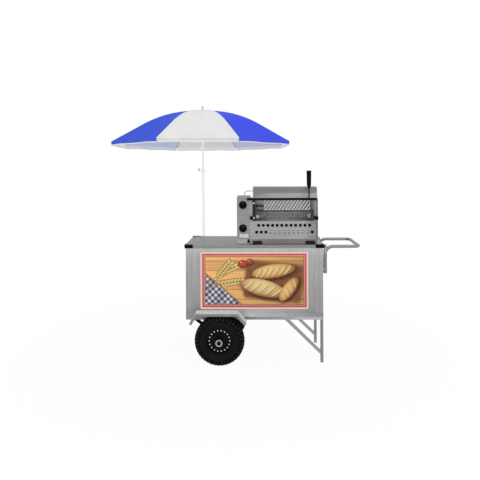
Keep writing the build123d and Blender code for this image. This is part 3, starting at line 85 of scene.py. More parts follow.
# Camera: in front of the cart, a little right of its middle
CAMERA_PLACE = (37.9, -4073.9, 1465.3)
CAMERA_ANGLES = (0.395, -1.184, -0.312)  # pitch, yaw and roll in degrees
CAMERA_LENS, CAMERA_FILM = 37.5, 36
CAMERA_SHIFT = (-0.0174, -0.1345)


def make_camera():
    data = bpy.data.cameras.new("camera")
    data.sensor_width, data.lens = CAMERA_FILM, CAMERA_LENS
    data.shift_x, data.shift_y = CAMERA_SHIFT
    data.clip_end = 200
    camera = linked("camera", data)
    pitch, yaw, roll = (math.radians(a) for a in CAMERA_ANGLES)
    place = Matrix.Translation(at(*CAMERA_PLACE))
    for angle, axis in ((-yaw, "Z"), (math.pi / 2 - pitch, "X"), (roll, "Z")):
        place = place @ Matrix.Rotation(angle, 4, axis)
    camera.matrix_world = place
    bpy.context.scene.camera = camera


# Shader helpers
WHITE = (1, 1, 1, 1)


def feed(tree, socket, value):
    """A link or a plain value for a socket."""
    if isinstance(value, bpy.types.NodeSocket):
        tree.links.new(value, socket)
    elif value is not None:
        socket.default_value = value


def add_node(tree, kind, *values, **settings):
    """A node with its settings, and a link or a value for each of its first sockets."""
    made = tree.nodes.new(kind)
    for key, value in settings.items():
        setattr(made, key, value)
    for socket, value in zip(made.inputs, values):
        feed(tree, socket, value)
    return made


class Shader:
    """A principled material with short calls for the nodes that feed it."""

    def __init__(self, name, **sockets):
        self.material = bpy.data.materials.new(name)
        self.material.use_nodes = True
        self.tree = self.material.node_tree
        self.bsdf = self.tree.nodes["Principled BSDF"]
        self.named(self.bsdf, **sockets)

    def node(self, kind, *values, **settings):
        return add_node(self.tree, kind, *values, **settings)

    def named(self, node, **sockets):
        """Links or values for a node's sockets by their names; gives its outputs."""
        for key, value in sockets.items():
            feed(self.tree, node.inputs[key.replace("_", " ")], value)
        return node.outputs

    def place(self, stretch=(1, 1, 1), shift=(0, 0, 0)):
        spot = self.node("ShaderNodeTexCoord").outputs["Object"]
        return self.named(self.node("ShaderNodeMapping", spot), Location=shift, Scale=stretch)[0]

    def axis(self, index):
        return self.node("ShaderNodeSeparateXYZ", self.place()).outputs[index]

    def noise(self, scale, detail, stretch=(1, 1, 1), rough=0.55):
        made = self.node("ShaderNodeTexNoise", self.place(stretch))
        return self.named(made, Scale=scale, Detail=detail, Roughness=rough)[0]

    def cells(self, scale):
        return self.named(self.node("ShaderNodeTexVoronoi", self.place()), Scale=scale)["Color"]

    def sums(self, kind, *values):
        return self.node("ShaderNodeMath", *values, operation=kind).outputs[0]

    def plus(self, a, b):
        return self.sums("ADD", a, b)

    def times(self, a, b):
        return self.sums("MULTIPLY", a, b)

    def spread(self, value, low, high, new_low=0.0, new_high=1.0):
        return self.node("ShaderNodeMapRange", value, low, high, new_low, new_high).outputs[0]

    def ramp(self, value, *stops):
        made = self.node("ShaderNodeValToRGB", value)
        band = made.color_ramp
        while len(band.elements) < len(stops):
            band.elements.new(0.5)
        for element, (spot, colour) in zip(band.elements, stops):
            element.position = spot
            element.color = (*(colour if isinstance(colour, tuple) else even(colour)), 1)
        return made.outputs[0]

    def mixed(self, share, a, b, blend="MIX"):
        made = self.node("ShaderNodeMix", data_type="RGBA", blend_type=blend)
        for index, value in ((0, share), (6, a), (7, b)):
            feed(self.tree, made.inputs[index], (*value, 1) if isinstance(value, tuple) else value)
        return made.outputs[2]

    def by_place(self, shades, colour, axis=2):
        """A colour scaled by (place in metres, share) steps along an axis: painted light, shade and reflection."""
        if not shades:
            return colour
        low, high = shades[0][0], shades[-1][0]
        stops = [((spot - low) / (high - low), share) for spot, share in shades]
        steps = self.ramp(self.spread(self.axis(axis), low, high), *stops)
        return self.mixed(1.0, colour, steps, "MULTIPLY")

    def banded(self, level, soft, low, high):
        """One colour below a height in metres and another above it."""
        return self.mixed(self.spread(self.axis(2), level - soft, level + soft), low, high)

    def colour(self, value):
        self.named(self.bsdf, Base_Color=value)

    def rough(self, value):
        self.named(self.bsdf, Roughness=value)

    def bump(self, height, distance, strength, under=None):
        made = self.node("ShaderNodeBump")
        normal = self.named(made, Strength=strength, Distance=distance, Height=height, Normal=under)[0]
        self.named(self.bsdf, Normal=normal)
        return normal


def even(value):
    return (value, value, value)


def tint(colour, share):
    return tuple(c * share for c in colour)


def brushed(name, colour, stretch, rough, grain=70.0, shades=None, axis=2, foot=None, glint=1.0):
    """Sheet steel with fine brush lines, handling marks and soft waviness.

    Shades are painted light and reflection along an axis, and a foot has its height and its own painted shades along
    X. Glint is the strength of grazing reflections.
    """
    s = Shader(name, Metallic=1.0, Specular_Tint=(*even(glint), 1))
    lines = s.noise(grain, 6.0, stretch, 0.7)
    marks = s.noise(5.0, 5.0, rough=0.6)
    base = s.ramp(lines, (0.30, tint(colour, 0.80)), (0.70, tint(colour, 1.16)))
    base = s.mixed(s.spread(marks, 0.45, 0.75, 0.0, 0.35), base, tint(colour, 0.82))
    tone = s.by_place(shades, base, axis)
    s.colour(s.banded(foot[0], 0.016, s.by_place(foot[1], base, 0), tone) if foot else tone)
    s.rough(s.plus(s.spread(lines, 0.3, 0.7, rough - 0.06, rough + 0.06), s.spread(marks, 0.4, 0.7, 0.0, 0.06)))
    wave = s.bump(s.noise(2.2, 2.0), 0.004, 0.25)
    s.bump(lines, 0.0002, 0.35, wave)
    return s.material


def spangled(name, colour, rough, metal=1.0, shades=None, lip=None):
    """Zinc coat with its crystal spangle and duller patches.

    Shades are painted light and reflection; a lip has its height and its own painted shades along X, and then the
    other shades run along X too.
    """
    s = Shader(name, Metallic=metal)
    crystal = s.cells(90.0)
    soil = s.noise(9.0, 6.0)
    base = s.ramp(crystal, (0.1, tint(colour, 0.88)), (0.9, tint(colour, 1.08)))
    base = s.mixed(s.spread(soil, 0.5, 0.75, 0.0, 0.45), base, tint(colour, 0.7))
    if lip:
        s.colour(s.banded(lip[0], 0.002, s.by_place(lip[1], base, 0), s.by_place(shades, base, 0)))
    else:
        s.colour(s.by_place(shades, base))
    s.rough(s.spread(crystal, 0.0, 1.0, rough - 0.06, rough + 0.07))
    s.bump(soil, 0.0006, 0.3)
    return s.material


def coated(name, colour, rough, pebble, worn, depth=0.0002, shine=0.5, glow=0.0, metal=0.0):
    """Paint or moulded plastic with a fine skin and rubbed, dusty places. Glow is painted light, given off as a
    white emission.
    """
    s = Shader(name, Specular_IOR_Level=shine, Emission_Color=WHITE, Emission_Strength=glow, Metallic=metal)
    rub = s.noise(14.0, 6.0, rough=0.65)
    s.colour(s.mixed(s.spread(rub, 0.52, 0.74, 0.0, 0.6), colour, worn))
    s.rough(s.spread(rub, 0.3, 0.7, rough - 0.05, rough + 0.12))
    s.bump(s.noise(pebble, 3.0), depth, 0.5)
    return s.material


def sooted_and_shaded(level):
    """Inside of the oven: dulled bare steel, and black under the deck, which is soot and also painted shade of the
    closed space.
    """
    s = Shader("sooted_and_shaded_steel", Specular_IOR_Level=0.1)
    bare = s.spread(s.axis(2), level - 0.004, level + 0.002)
    smoke = s.noise(9.0, 6.0)
    steel = s.ramp(s.cells(60.0), (0.1, (0.30, 0.297, 0.29)), (0.9, (0.40, 0.396, 0.39)))
    steel = s.mixed(s.spread(smoke, 0.45, 0.7, 0.0, 0.5), steel, (0.22, 0.215, 0.21))
    s.colour(s.mixed(bare, (0.010, 0.009, 0.008), steel))
    s.named(s.bsdf, Metallic=bare)
    s.rough(s.spread(smoke, 0.3, 0.7, 0.20, 0.34))
    s.bump(smoke, 0.0006, 0.3)
    return s.material


def tyre_rubber():
    """Black rubber with the finer lugs of the tread, ribs at the shoulder and rings at the bead."""
    s = Shader("tyre_rubber", Specular_IOR_Level=0.03)
    hub = (-(MIDDLE_X + AXLE_X / 1000), 0, -AXLE_Z / 1000)
    x, y, z = s.node("ShaderNodeSeparateXYZ", s.place(shift=hub)).outputs
    radius = s.sums("SQRT", s.plus(s.times(x, x), s.times(z, z)))
    turn = s.sums("ARCTAN2", z, x)
    lean = s.times(s.sums("PINGPONG", y, 0.02), 55.0)
    lugs = s.sums("SINE", s.times(s.plus(turn, s.times(lean, 0.12)), 64.0))
    lugs = s.sums("SMOOTH_MIN", s.times(lugs, 2.0), 0.6, 0.3)
    on_tread = s.spread(radius, 0.168, 0.180)
    rings = s.sums("SINE", s.times(radius, 620.0))
    ribs = s.sums("SINE", s.times(turn, 150.0))
    near_bead = s.spread(radius, 0.128, 0.124)
    on_wall = s.spread(radius, 0.150, 0.158)
    wall = s.plus(s.times(rings, near_bead), s.times(s.times(ribs, on_wall), 0.6))
    height = s.plus(s.times(lugs, s.times(on_tread, 2.0)), wall)
    dust = s.noise(22.0, 8.0, rough=0.7)
    base = s.ramp(dust, (0.35, 0.002), (0.75, 0.008))
    s.colour(s.mixed(s.spread(lugs, -1.6, -0.4, 0.2, 0.0), base, (0.030, 0.029, 0.028)))
    s.rough(s.spread(dust, 0.3, 0.8, 0.52, 0.80))
    skin = s.bump(s.noise(700.0, 2.0), 0.0002, 0.3)
    s.bump(height, 0.0016, 1.0, skin)
    return s.material


def cloth(name, colour, through=0.0, shades=None):
    """Plain-woven awning cloth with slack wrinkles and an uneven dye. Through is a glow in the cloth's own colour:
    painted light, standing in for daylight that comes through to its inside. Shades along X are painted light and
    shade.
    """
    s = Shader(name, Sheen_Weight=0.03, Sheen_Roughness=0.5, Specular_IOR_Level=0.12)
    s.named(s.bsdf, Emission_Color=(*colour, 1), Emission_Strength=through)
    threads = []
    for way in ("X", "Y"):
        thread = s.node("ShaderNodeTexWave", s.place(), bands_direction=way)
        threads.append(s.named(thread, Scale=260.0, Distortion=0.6)[1])
    weave = s.times(*threads)
    dye = s.noise(7.0, 5.0)
    tone = s.ramp(dye, (0.3, tint(colour, 0.955)), (0.7, tint(colour, 1.03)))
    s.colour(s.by_place(shades, s.mixed(s.spread(weave, 0.0, 1.0, 0.10, 0.0), tone, tint(colour, 0.6)), 0))
    s.rough(s.spread(dye, 0.3, 0.7, 0.74, 0.86))
    slack = s.bump(s.noise(11.0, 3.0, (1, 1, 0.6)), 0.004, 0.22)
    s.bump(weave, 0.0003, 0.4, slack)
    return s.material


def glass():
    """Heat-proof pane with fingermarks and a faint smoke film."""
    s = Shader("pane_glass", Base_Color=(0.30, 0.31, 0.31, 1), Alpha=0.05, Specular_IOR_Level=0.4)
    s.rough(s.spread(s.noise(16.0, 5.0), 0.4, 0.7, 0.05, 0.16))
    s.bump(s.noise(1.8, 1.0), 0.0008, 0.2)
    return s.material


def print_film():
    """Printed vinyl under a thin glossy film; the colours are stored on the sheet's points."""
    s = Shader("poster_print", Coat_Weight=0.08, Coat_Roughness=0.12, Specular_IOR_Level=0.2)
    ink = s.node("ShaderNodeVertexColor", layer_name="ink").outputs[0]
    fade = s.noise(26.0, 5.0)
    s.colour(s.mixed(s.spread(fade, 0.4, 0.75, 0.0, 0.04), ink, (0.80, 0.72, 0.62)))
    s.rough(s.spread(fade, 0.3, 0.7, 0.32, 0.44))
    s.bump(s.noise(300.0, 2.0), 0.0002, 0.25)
    return s.material


def along(*shades):
    """Painted shades along the cart, from its middle."""
    return tuple((MIDDLE_X + x, share) for x, share in shades)


# Painted light and shade by height: reflection on the sheet steel, lighter towards its top, and on the upper part of
# the oven door's right arm
BODY_SHADES = ((0.36, 0.56), (0.50, 0.58), (0.80, 0.68), (0.855, 0.80), (0.885, 0.98), (0.92, 1.0))
ARM_SHADES = ((1.05, 0.36), (1.174, 0.36), (1.188, 1.0), (1.30, 1.0))
# Painted light and shade along the cart: reflection on the rail and its lip, the plinth, the oven front and the
# front sheet's foot, and light and shade across the canopy's blue, darker at its left tip
RAIL_SHADES = along(
    (-0.54, 0.57), (-0.40, 0.62), (-0.20, 0.92), (-0.05, 1.0), (0.03, 0.99), (0.22, 0.81), (0.37, 0.67), (0.54, 0.56)
)
LIP_SHADES = along(
    (-0.54, 0.59), (-0.06, 0.40), (0.03, 0.56), (0.22, 0.65), (0.37, 0.92), (0.44, 0.96), (0.54, 0.86)
)
PLINTH_SHADES = along((-0.14, 1.0), (-0.05, 1.0), (-0.035, 0.64), (0.10, 0.51), (0.50, 0.51))
FRONT_SHADES = along((-0.14, 1.0), (0.39, 1.0), (0.445, 0.74), (0.474, 0.72), (0.483, 0.46), (0.50, 0.46))
FOOT_SHADES = along(
    (-0.54, 0.46), (-0.40, 0.48), (-0.20, 0.74), (-0.05, 0.79), (0.03, 0.78), (0.22, 0.655), (0.37, 0.545),
    (0.45, 0.50), (0.50, 0.57), (0.54, 0.62)
)
PAINTED_CANOPY_SHADES = along(
    (-1.24, (0.45, 0.50, 0.46)), (-1.17, (0.74, 0.86, 0.72)), (-1.05, (0.81, 1.0, 0.80)),
    (-0.60, (0.86, 1.0, 0.86)), (-0.30, (1.0, 0.93, 1.0)), (0.35, (1.0, 0.93, 1.0))
)
FOOT_TOP, LIP_TOP = 0.412, 0.351  # metres
# Brush lines upright, along the cart, and level on every side
UPRIGHT, LENGTHWISE, LEVEL = (1.0, 1.0, 0.03), (0.03, 1.0, 1.0), (0.03, 0.03, 1.0)
SHEET = (0.595, 0.595, 0.592)

finish = {
    # the body and front sheets carry painted reflection, lighter towards their top; the front sheet's foot carries
    # painted light and shade along X
    "body": brushed("stainless_sheet", SHEET, UPRIGHT, 0.42, shades=BODY_SHADES),
    "front_sheet": brushed("front_sheet", SHEET, UPRIGHT, 0.42, shades=BODY_SHADES, foot=(FOOT_TOP, FOOT_SHADES)),
    "counter": brushed("counter_sheet", (0.40, 0.402, 0.405), LENGTHWISE, 0.36, glint=0.60),
    # the counter's upright faces take a darker copy of its steel: painted shade
    "lip": brushed("counter_lip", (0.278, 0.279, 0.278), LENGTHWISE, 0.44),
    "oven": brushed("oven_steel", even(0.367), LEVEL, 0.40, 90.0),
    "box": brushed("box_steel", (0.295, 0.295, 0.294), LEVEL, 0.42, 90.0),
    # the plinth is lighter at its left end: painted reflection
    "plinth": brushed("plinth_steel", even(0.48), LEVEL, 0.46, 90.0, PLINTH_SHADES, 0),
    # black under the oven's deck: soot, and painted shade of the closed space
    "soot_and_shade": sooted_and_shaded(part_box("vent_panel")[1].z),
    # the hood's steel, a darker copy on its upper faces and the oven steel on its top are one steel in three tones:
    # painted light and shade
    "hood": brushed("hood_steel", even(0.306), LEVEL, 0.42, 90.0),
    "hood_top": brushed("hood_top_steel", even(0.205), LENGTHWISE, 0.44, 90.0),
    "zinc_coat": spangled("galvanised_steel", (0.392, 0.395, 0.398), 0.42),
    # the rail carries painted reflection along X, on its face and on its lip
    "rail": spangled("rail_zinc", (0.513, 0.517, 0.521), 0.42, 1.0, RAIL_SHADES, (LIP_TOP, LIP_SHADES)),
    # the oven front darkens towards its right end: painted shade
    "front": brushed("oven_front_steel", even(0.367), LEVEL, 0.40, 90.0, FRONT_SHADES, 0),
    # the braces are a lighter copy of the tube zinc: painted light
    "brace": spangled("brace_zinc", (0.345, 0.345, 0.346), 0.40),
    "lug": coated("lug_rubber", even(0.013), 0.60, 420.0, (0.034, 0.033, 0.032), 0.0003, 0.15),
    # the fender's upright faces take a darker copy of its zinc: painted shade
    "fender": spangled("fender_zinc", (0.748, 0.766, 0.768), 0.70, 0.0),
    "fender_lip": spangled("fender_lip_zinc", (0.262, 0.262, 0.264), 0.50, 0.5),
    "tube": spangled("tube_zinc", (0.259, 0.259, 0.260), 0.40),
    "burner": spangled("burner_steel", (0.86, 0.85, 0.83), 0.40, 0.2),
    "axle": spangled("axle_zinc", (0.403, 0.403, 0.400), 0.34),
    # the arms are lighter copies of the door's black steel: painted reflection, lighter still on the right arm's
    # upper part
    "arm": spangled("arm_steel", (0.028, 0.028, 0.027), 0.36),
    "right_arm": spangled("right_arm_steel", (0.146, 0.146, 0.143), 0.36, 1.0, ARM_SHADES),
    "black": coated("black_steel", even(0.006), 0.42, 260.0, (0.014, 0.014, 0.013), 0.0003, 0.06),
    "bolt": spangled("zinc_steel", (0.62, 0.62, 0.613), 0.26),
    "tyre": tyre_rubber(),
    "foot": coated("foot_rubber", even(0.008), 0.62, 420.0, (0.024, 0.023, 0.022), 0.0003, 0.15),
    "plastic": coated("black_plastic", even(0.003), 0.36, 500.0, even(0.009), shine=0.05),
    "grey": coated("grey_plastic", even(0.42), 0.45, 400.0, (0.50, 0.49, 0.48)),
    "clamp": coated("clamp_plastic", even(0.90), 0.45, 400.0, (0.82, 0.81, 0.80)),
    "board": coated("board_margin", (0.80, 0.58, 0.55), 0.40, 160.0, (0.74, 0.54, 0.50)),
    "glass": glass(),
    # the pole's glow is painted light, which keeps the white pole bright in the canopy's shade
    "pole": coated("pole_paint", even(0.95), 0.34, 220.0, (0.90, 0.90, 0.89), glow=0.28),
    "rib": coated("rib_paint", (0.62, 0.62, 0.63), 0.40, 220.0, (0.52, 0.51, 0.50)),
    "finial": coated("finial_plastic", even(0.70), 0.42, 300.0, (0.62, 0.62, 0.61)),
    "gas": coated("cylinder_paint", (0.16, 0.22, 0.30), 0.42, 120.0, (0.24, 0.25, 0.26), 0.0004),
    "print": print_film(),
    # The insides, hem insides and binding glow: painted light. The hem insides are lighter than the other insides,
    # and the blue skirt lighter than the blue: painted light on the skirt.
    "white": cloth("white_cloth", (0.80, 0.80, 0.805)),
    "blue": cloth("blue_cloth", (0.041, 0.084, 0.84), shades=PAINTED_CANOPY_SHADES),
    "blue_skirt": cloth("blue_skirt", (0.085, 0.135, 0.95), shades=PAINTED_CANOPY_SHADES),
    "binding": cloth("hem_binding", (0.90, 0.905, 0.93), 0.08),
    "white_under": cloth("white_cloth_inside", (0.93, 0.935, 0.94), 0.17),
    "blue_under": cloth("blue_cloth_inside", (0.69, 0.72, 0.92), 0.18),
    "white_hem": cloth("white_hem_inside", (0.94, 0.945, 0.95), 0.24),
    "blue_hem": cloth("blue_hem_inside", (0.84, 0.86, 0.95), 0.20),
    "label": coated("label_plate", (0.74, 0.71, 0.70), 0.38, 160.0, (0.66, 0.63, 0.62)),
    "wire": spangled("wire_steel", (0.42, 0.417, 0.408), 0.40, 0.5),
    # the strands' glow is painted light: a glint on the polished strands
    "strand": coated(
        "strand_steel", (0.97, 0.97, 0.96), 0.34, 220.0, (0.86, 0.86, 0.85), 0.0001, glow=0.24, metal=0.3
    ),
}

dressed = {
    "front_sheet": "front_panel",
    "body": "side_panels rear_panel floor_panel left_door right_door",
    "counter": "counter_top",
    "oven": "oven_casing vent_panel",
    "box": "control_box",
    "hood": "hood",
    "rail": "cabinet_frame",
    "zinc_coat": "umbrella_socket",
    "fender": "fenders",
    "tube": "legs push_handle",
    "burner": "burners gas_fittings wire_tray mesh_screen",
    "black": "axle_brackets front_rim rear_rim oven_door door_pivots",
    "bolt": "front_rim_bolts rear_rim_bolts",
    "axle": "axle",
    "tyre": "front_tyre rear_tyre",
    "foot": "oven_feet",
    "plastic": "corner_protectors upper_knob lower_knob lever_grip",
    "clamp": "clamp_knob",
    "grey": "runner",
    "board": "poster_panel",
    "glass": "door_pane",
    "pole": "lower_pole upper_pole",
    "rib": " ".join(f"rib_{k} stretcher_{k}" for k in range(1, 9)),
    "gas": "gas_cylinder",
    "white": "canopy_white",
    "blue": "canopy_blue",
}
for key, names in dressed.items():
    for name in names.split():
        nodes[name].data.materials.clear()
        nodes[name].data.materials.append(finish[key])


def split(node, key, test):
    """Another finish for the faces of a node that pass a test on their middle, in the cart's axes, and normal."""
    mesh = nodes[node].data
    mesh.materials.append(finish[key])
    for face in mesh.polygons:
        if test(*cart_axes(face.center), face.normal):
            face.material_index = len(mesh.materials) - 1


FOLD = limits("hood")[0][2] + 45  # height of the hood's fold
DOOR_RAIL, OVEN_ROOF = FOLD - 59, FOLD - 47
CASING_FRONT, PANEL_BACK, PAN_FRONT, OVEN_BACK = -205, -209, -185, 119
(_, _, panel_low), (_, _, panel_high) = limits("vent_panel")
# the hood's upper faces take a darker steel and its top a lighter one: painted shade and light
split("hood", "hood_top", lambda x, y, z, n: z > FOLD and n.z < 0.9 and abs(n.x) < 0.5)
split("hood", "oven", lambda x, y, z, n: n.z > 0.9)
# the oven front's steel darkens towards its right end: painted shade
split("oven_casing", "front", lambda x, y, z, n: n.y < -0.5 and y < CASING_FRONT)
split("vent_panel", "front", lambda x, y, z, n: n.y < -0.5 and y < PANEL_BACK)
# the plinth's steel is lighter at its left end: painted reflection
split("oven_casing", "plinth", lambda x, y, z, n: panel_low - 16.5 < z < panel_low - 0.5 and y < PAN_FRONT)
# below the deck, the oven's inside, the vent panel's back and the left of the burners are black: soot, and painted
# shade of the closed space
split("oven_casing", "soot_and_shade", lambda x, y, z, n: (
    -30 < x < 492 and PANEL_BACK < y < OVEN_BACK and panel_low < z < OVEN_ROOF))
split("vent_panel", "soot_and_shade", lambda x, y, z, n: y > PANEL_BACK)
# the door's arms take lighter copies of its black steel: painted reflection
split("oven_door", "arm", lambda x, y, z, n: x < 60 and z < DOOR_RAIL)
split("oven_door", "right_arm", lambda x, y, z, n: x > 435 and z < DOOR_RAIL)
split("burners", "soot_and_shade", lambda x, y, z, n: x < 107 and z < panel_high)
# the braces take a lighter copy of the legs' zinc: painted light
split("legs", "brace", lambda x, y, z, n: x < 500)
# the fenders' upright faces take a darker zinc: painted shade
split("fenders", "fender_lip", lambda x, y, z, n: abs(n.y) > 0.5)
# the counter's upright faces take a darker steel: painted shade
split("counter_top", "lip", lambda x, y, z, n: abs(n.z) < 0.5)
split("upper_pole", "finial", lambda x, y, z, n: z > 2003)


# Mesh helpers
def from_bmesh(name, bm):
    mesh = bpy.data.meshes.new(name)
    bm.to_mesh(mesh)
    bm.free()
    return linked(name, mesh)


def piece(name, bm, body, slot, *materials, smooth=True):
    """A new piece from a bmesh, riding on a body."""
    obj = from_bmesh(name, bm)
    for face in obj.data.polygons:
        face.use_smooth = smooth
    for material in materials:
        obj.data.materials.append(material)
    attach(obj, body)
    return obj


def strip(bm, low, high):
    """Faces between two closed lines of as many points, or between a line and one point."""
    count = max(len(low), len(high))
    for k in range(count):
        n = (k + 1) % count
        corners = [line[i % len(line)] for line, i in ((low, k), (low, n), (high, n), (high, k))]
        bm.faces.new(list(dict.fromkeys(corners)))


def circle(bm, centre, turn, radius, height, sides):
    """Ring of points about an axis, or one point where the radius is 0."""
    ring = []
    for k in range(sides if radius else 1):
        a = 2 * math.pi * k / sides
        spot = Vector((radius * math.cos(a), radius * math.sin(a), height))
        ring.append(bm.verts.new(centre + turn @ spot / 1000))
    return ring


def lathe(bm, centre, axis, outline, sides=32):
    """Turned form: outline of (radius, height) in millimetres about an axis through a point of the cart's axes.

    An outline that ends where it starts makes a ring, and any other is closed by flat ends.
    """
    turn = Vector(axis).to_track_quat("Z", "Y").to_matrix()
    is_ring = outline[0] == outline[-1]
    points = outline[:-1] if is_ring else outline
    rings = [circle(bm, at(*centre), turn, radius, height, sides) for radius, height in points]
    if is_ring:
        rings.append(rings[0])
    else:
        for end in (rings[0][::-1], rings[-1]):
            if len(end) > 1:
                bm.faces.new(end)
    for low, high in zip(rings, rings[1:]):
        strip(bm, low, high)


def rod(bm, start, end, radius, sides):
    """Round bar between two points of the cart's axes."""
    run = Vector(end) - Vector(start)
    lathe(bm, start, run, [(radius, 0), (radius, run.length)], sides)


def bar(bm, corners, thick):
    """Flat bar from the corners of one face, in the cart's axes, and a thickness vector."""
    front = [bm.verts.new(at(*c)) for c in corners]
    back = [bm.verts.new(v.co + Vector(thick) / 1000) for v in front]
    bm.faces.new(front)
    bm.faces.new(reversed(back))
    strip(bm, back, front)


def upright(bm, x0, x1, y, z0, z1, thick):
    """Flat bar that faces the front."""
    bar(bm, [(x0, y, z0), (x1, y, z0), (x1, y, z1), (x0, y, z1)], (0, thick, 0))


# Umbrella: eight gores, each in two halves that meet at its middle and are sewn to the ribs
POLE = tuple((a + b) / 2 for a, b in zip(*limits("lower_pole")))[:2]
CROWN, HUB, ARC, BEND = 1998.0, 25, 1000.0, math.radians(30)
EYE, RIM, DROP = 11, 787.0, 32.0  # reach of the cloth's top and of its rim, and the skirt's drop
HALF = math.radians(22.5)
CLOTH_LIFT, CLOTH_THICK, SAG, SLIT = 4.6, 0.0012, 11, 0.024


def heading(azimuth):
    return Vector((math.cos(azimuth), math.sin(azimuth), 0))


def height(reach, lift):
    """Height of the cloth over the ribs at a distance from the pole: level, then an arc, then straight."""
    centre = CROWN - ARC
    radius = ARC + lift
    if reach <= HUB:
        return centre + radius
    end = HUB + radius * math.sin(BEND)
    if reach <= end:
        return centre + math.sqrt(radius * radius - (reach - HUB) ** 2)
    return centre + radius * math.cos(BEND) - (reach - end) * math.tan(BEND)


def gore_point(azimuth, side, reach, across):
    """A point of the cloth, across from the rib (0) to the middle of the gore (1)."""
    middle = azimuth + side * HALF
    near = (1 - across) * reach
    far = across * reach * math.cos(HALF)
    x = POLE[0] + near * math.cos(azimuth) + far * math.cos(middle)
    y = POLE[1] + near * math.sin(azimuth) + far * math.sin(middle)
    sag = SAG * math.sin(math.pi * min(reach / RIM, 1)) ** 0.8 * (2 * across - across * across)
    return x, y, height(reach, CLOTH_LIFT) - sag


def even_shading(obj):
    """The thin rim of a piece of cloth doesn't bend the shading of the cloth beside it."""
    obj.modifiers.new("even", "WEIGHTED_NORMAL").weight = 50


def half_gore(name, rib, azimuth, side, over):
    """Half a gore with its wavy skirt, whose last rows have the cloth of the binding."""
    bm = bmesh.new()
    rows, columns, hem_rows, bound_rows = 30, 14, 8, 2
    shares = [j / columns for j in range(columns + 1)]
    grid = []
    for i in range(rows + 1):
        reach = EYE + (RIM - EYE) * (i / rows) ** 0.9
        grid.append([bm.verts.new(at(*gore_point(azimuth, side, reach, across))) for across in shares])
    outward = heading(azimuth + side * HALF)
    for i in range(1, hem_rows + 1):
        fall = i / hem_rows
        line = []
        for across in shares:
            rest = 1 - across
            x, y, z = gore_point(azimuth, side, RIM, across + rest * SLIT * fall)
            wave = math.cos(math.pi * 3 * rest) * 2.2 + math.cos(math.pi * 7 * rest) * 0.8
            out = 1.4 * math.sin(math.pi * fall / 2) + wave * fall
            droop = (DROP + 1.6 * math.cos(math.pi * 2 * rest) - 1.6) * fall
            line.append(bm.verts.new(at(x, y, z - droop) + outward * (out / 1000)))
        grid.append(line)
    for i, (low, high) in enumerate(zip(grid, grid[1:])):
        coat = 0 if i < rows else 2 if i < rows + hem_rows - bound_rows else 4
        for j in range(columns):
            corners = (low[j], high[j], high[j + 1], low[j + 1])
            face = bm.faces.new(corners if side > 0 else tuple(reversed(corners)))
            face.material_index = coat
    bm.normal_update()
    area = sum(face.calc_area() for face in bm.faces)
    # the blue skirt and the hem insides are lighter copies of their cloth: painted light on the skirt
    skirt = "blue_skirt" if over == "blue" else over
    coats = [finish[key] for key in (over, over + "_under", skirt, over + "_hem", "binding", "binding")]
    obj = piece(name, bm, rib, over + "_cloth", *coats)
    shell = obj.modifiers.new("cloth", "SOLIDIFY")
    shell.thickness = CLOTH_THICK
    shell.offset = -1
    shell.material_offset = 1
    shell.material_offset_rim = 0
    even_shading(obj)
    out, sideways = heading(azimuth), heading(azimuth + math.pi / 2)
    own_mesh(obj)
    return obj


def seam_tape(name, rib, azimuth):
    """Narrow tape along a rib, over the seam of two gores."""
    bm = bmesh.new()
    sideways = heading(azimuth + math.pi / 2)
    profile = [(-4.5, 4.7), (-3.4, 5.5), (0.0, 5.9), (3.4, 5.5), (4.5, 4.7), (4.5, 4.3), (-4.5, 4.3)]
    start, steps = HUB + 2, 36
    grid = []
    for i in range(steps + 1):
        reach = start + (RIM - start) * i / steps
        foot = at(*POLE, 0) + heading(azimuth) * (reach / 1000)
        line = []
        for width, lift in profile:
            rise = height(reach, lift) - abs(width) * 0.14
            line.append(bm.verts.new(foot + sideways * (width / 1000) + Vector((0, 0, rise / 1000))))
        grid.append(line)
    for low, high in zip(grid, grid[1:]):
        strip(bm, high, low)
    bm.faces.new(grid[0])
    bm.faces.new(reversed(grid[-1]))
    even_shading(piece(name, bm, rib, "white_cloth", finish["white"]))


def make_canopy():
    for k in range(8):
        azimuth = math.radians(-64 + 45 * k)
        rib = f"rib_{k + 1}"
        # the gore before the rib is white where k is even
        colours = ("white", "blue") if k % 2 == 0 else ("blue", "white")
        for side, letter, colour in zip((-1, 1), "ab", colours):
            half = half_gore(f"gore_{colour}_{k + 1}{letter}", rib, azimuth, side, colour)
        seam_tape(f"seam_{k + 1}", rib, azimuth)
    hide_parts("canopy_white")
    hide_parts("canopy_blue")


make_canopy()


# Printed board: a baker's picture of loaves and wheat on a wooden table, inside a red frame
MARGIN = (0.98, 0.72, 0.69)
PLANK = 74
CHECKS = ((0.86, 0.84, 0.80), (0.2825, 0.2905, 0.359), (0.035, 0.055, 0.17))
EARS = (((-372, -30), 40, 290), ((-366, -66), 22, 300), ((-330, -60), 62, 260))
LOAVES = (
    ((150, 70), 8, 172, 56, 6, (1.0, 0.66, 0.24)),
    ((72, -62), -14, 178, 68, 5, (1.0, 0.74, 0.33)),
    ((268, -66), 52, 112, 48, 4, (1.0, 0.60, 0.20)),
)
TOMATOES = (((-90, 128), 34), ((-36, 146), 26))


class Picture:
    """Colours at points of the print, laid over one another."""

    def __init__(self, x, y, colours):
        self.x, self.y, self.colours = x, y, colours

    def oval(self, centre, turn, half_x=1, half_y=1):
        """Place of each point on an oval's own axes, 1 at its edge."""
        c, s = math.cos(math.radians(turn)), math.sin(math.radians(turn))
        dx, dy = self.x - centre[0], self.y - centre[1]
        return (dx * c + dy * s) / half_x, (dy * c - dx * s) / half_y

    def lay(self, share, colour):
        share = share[..., None]
        self.colours = self.colours * (1 - share) + np.asarray(colour) * share


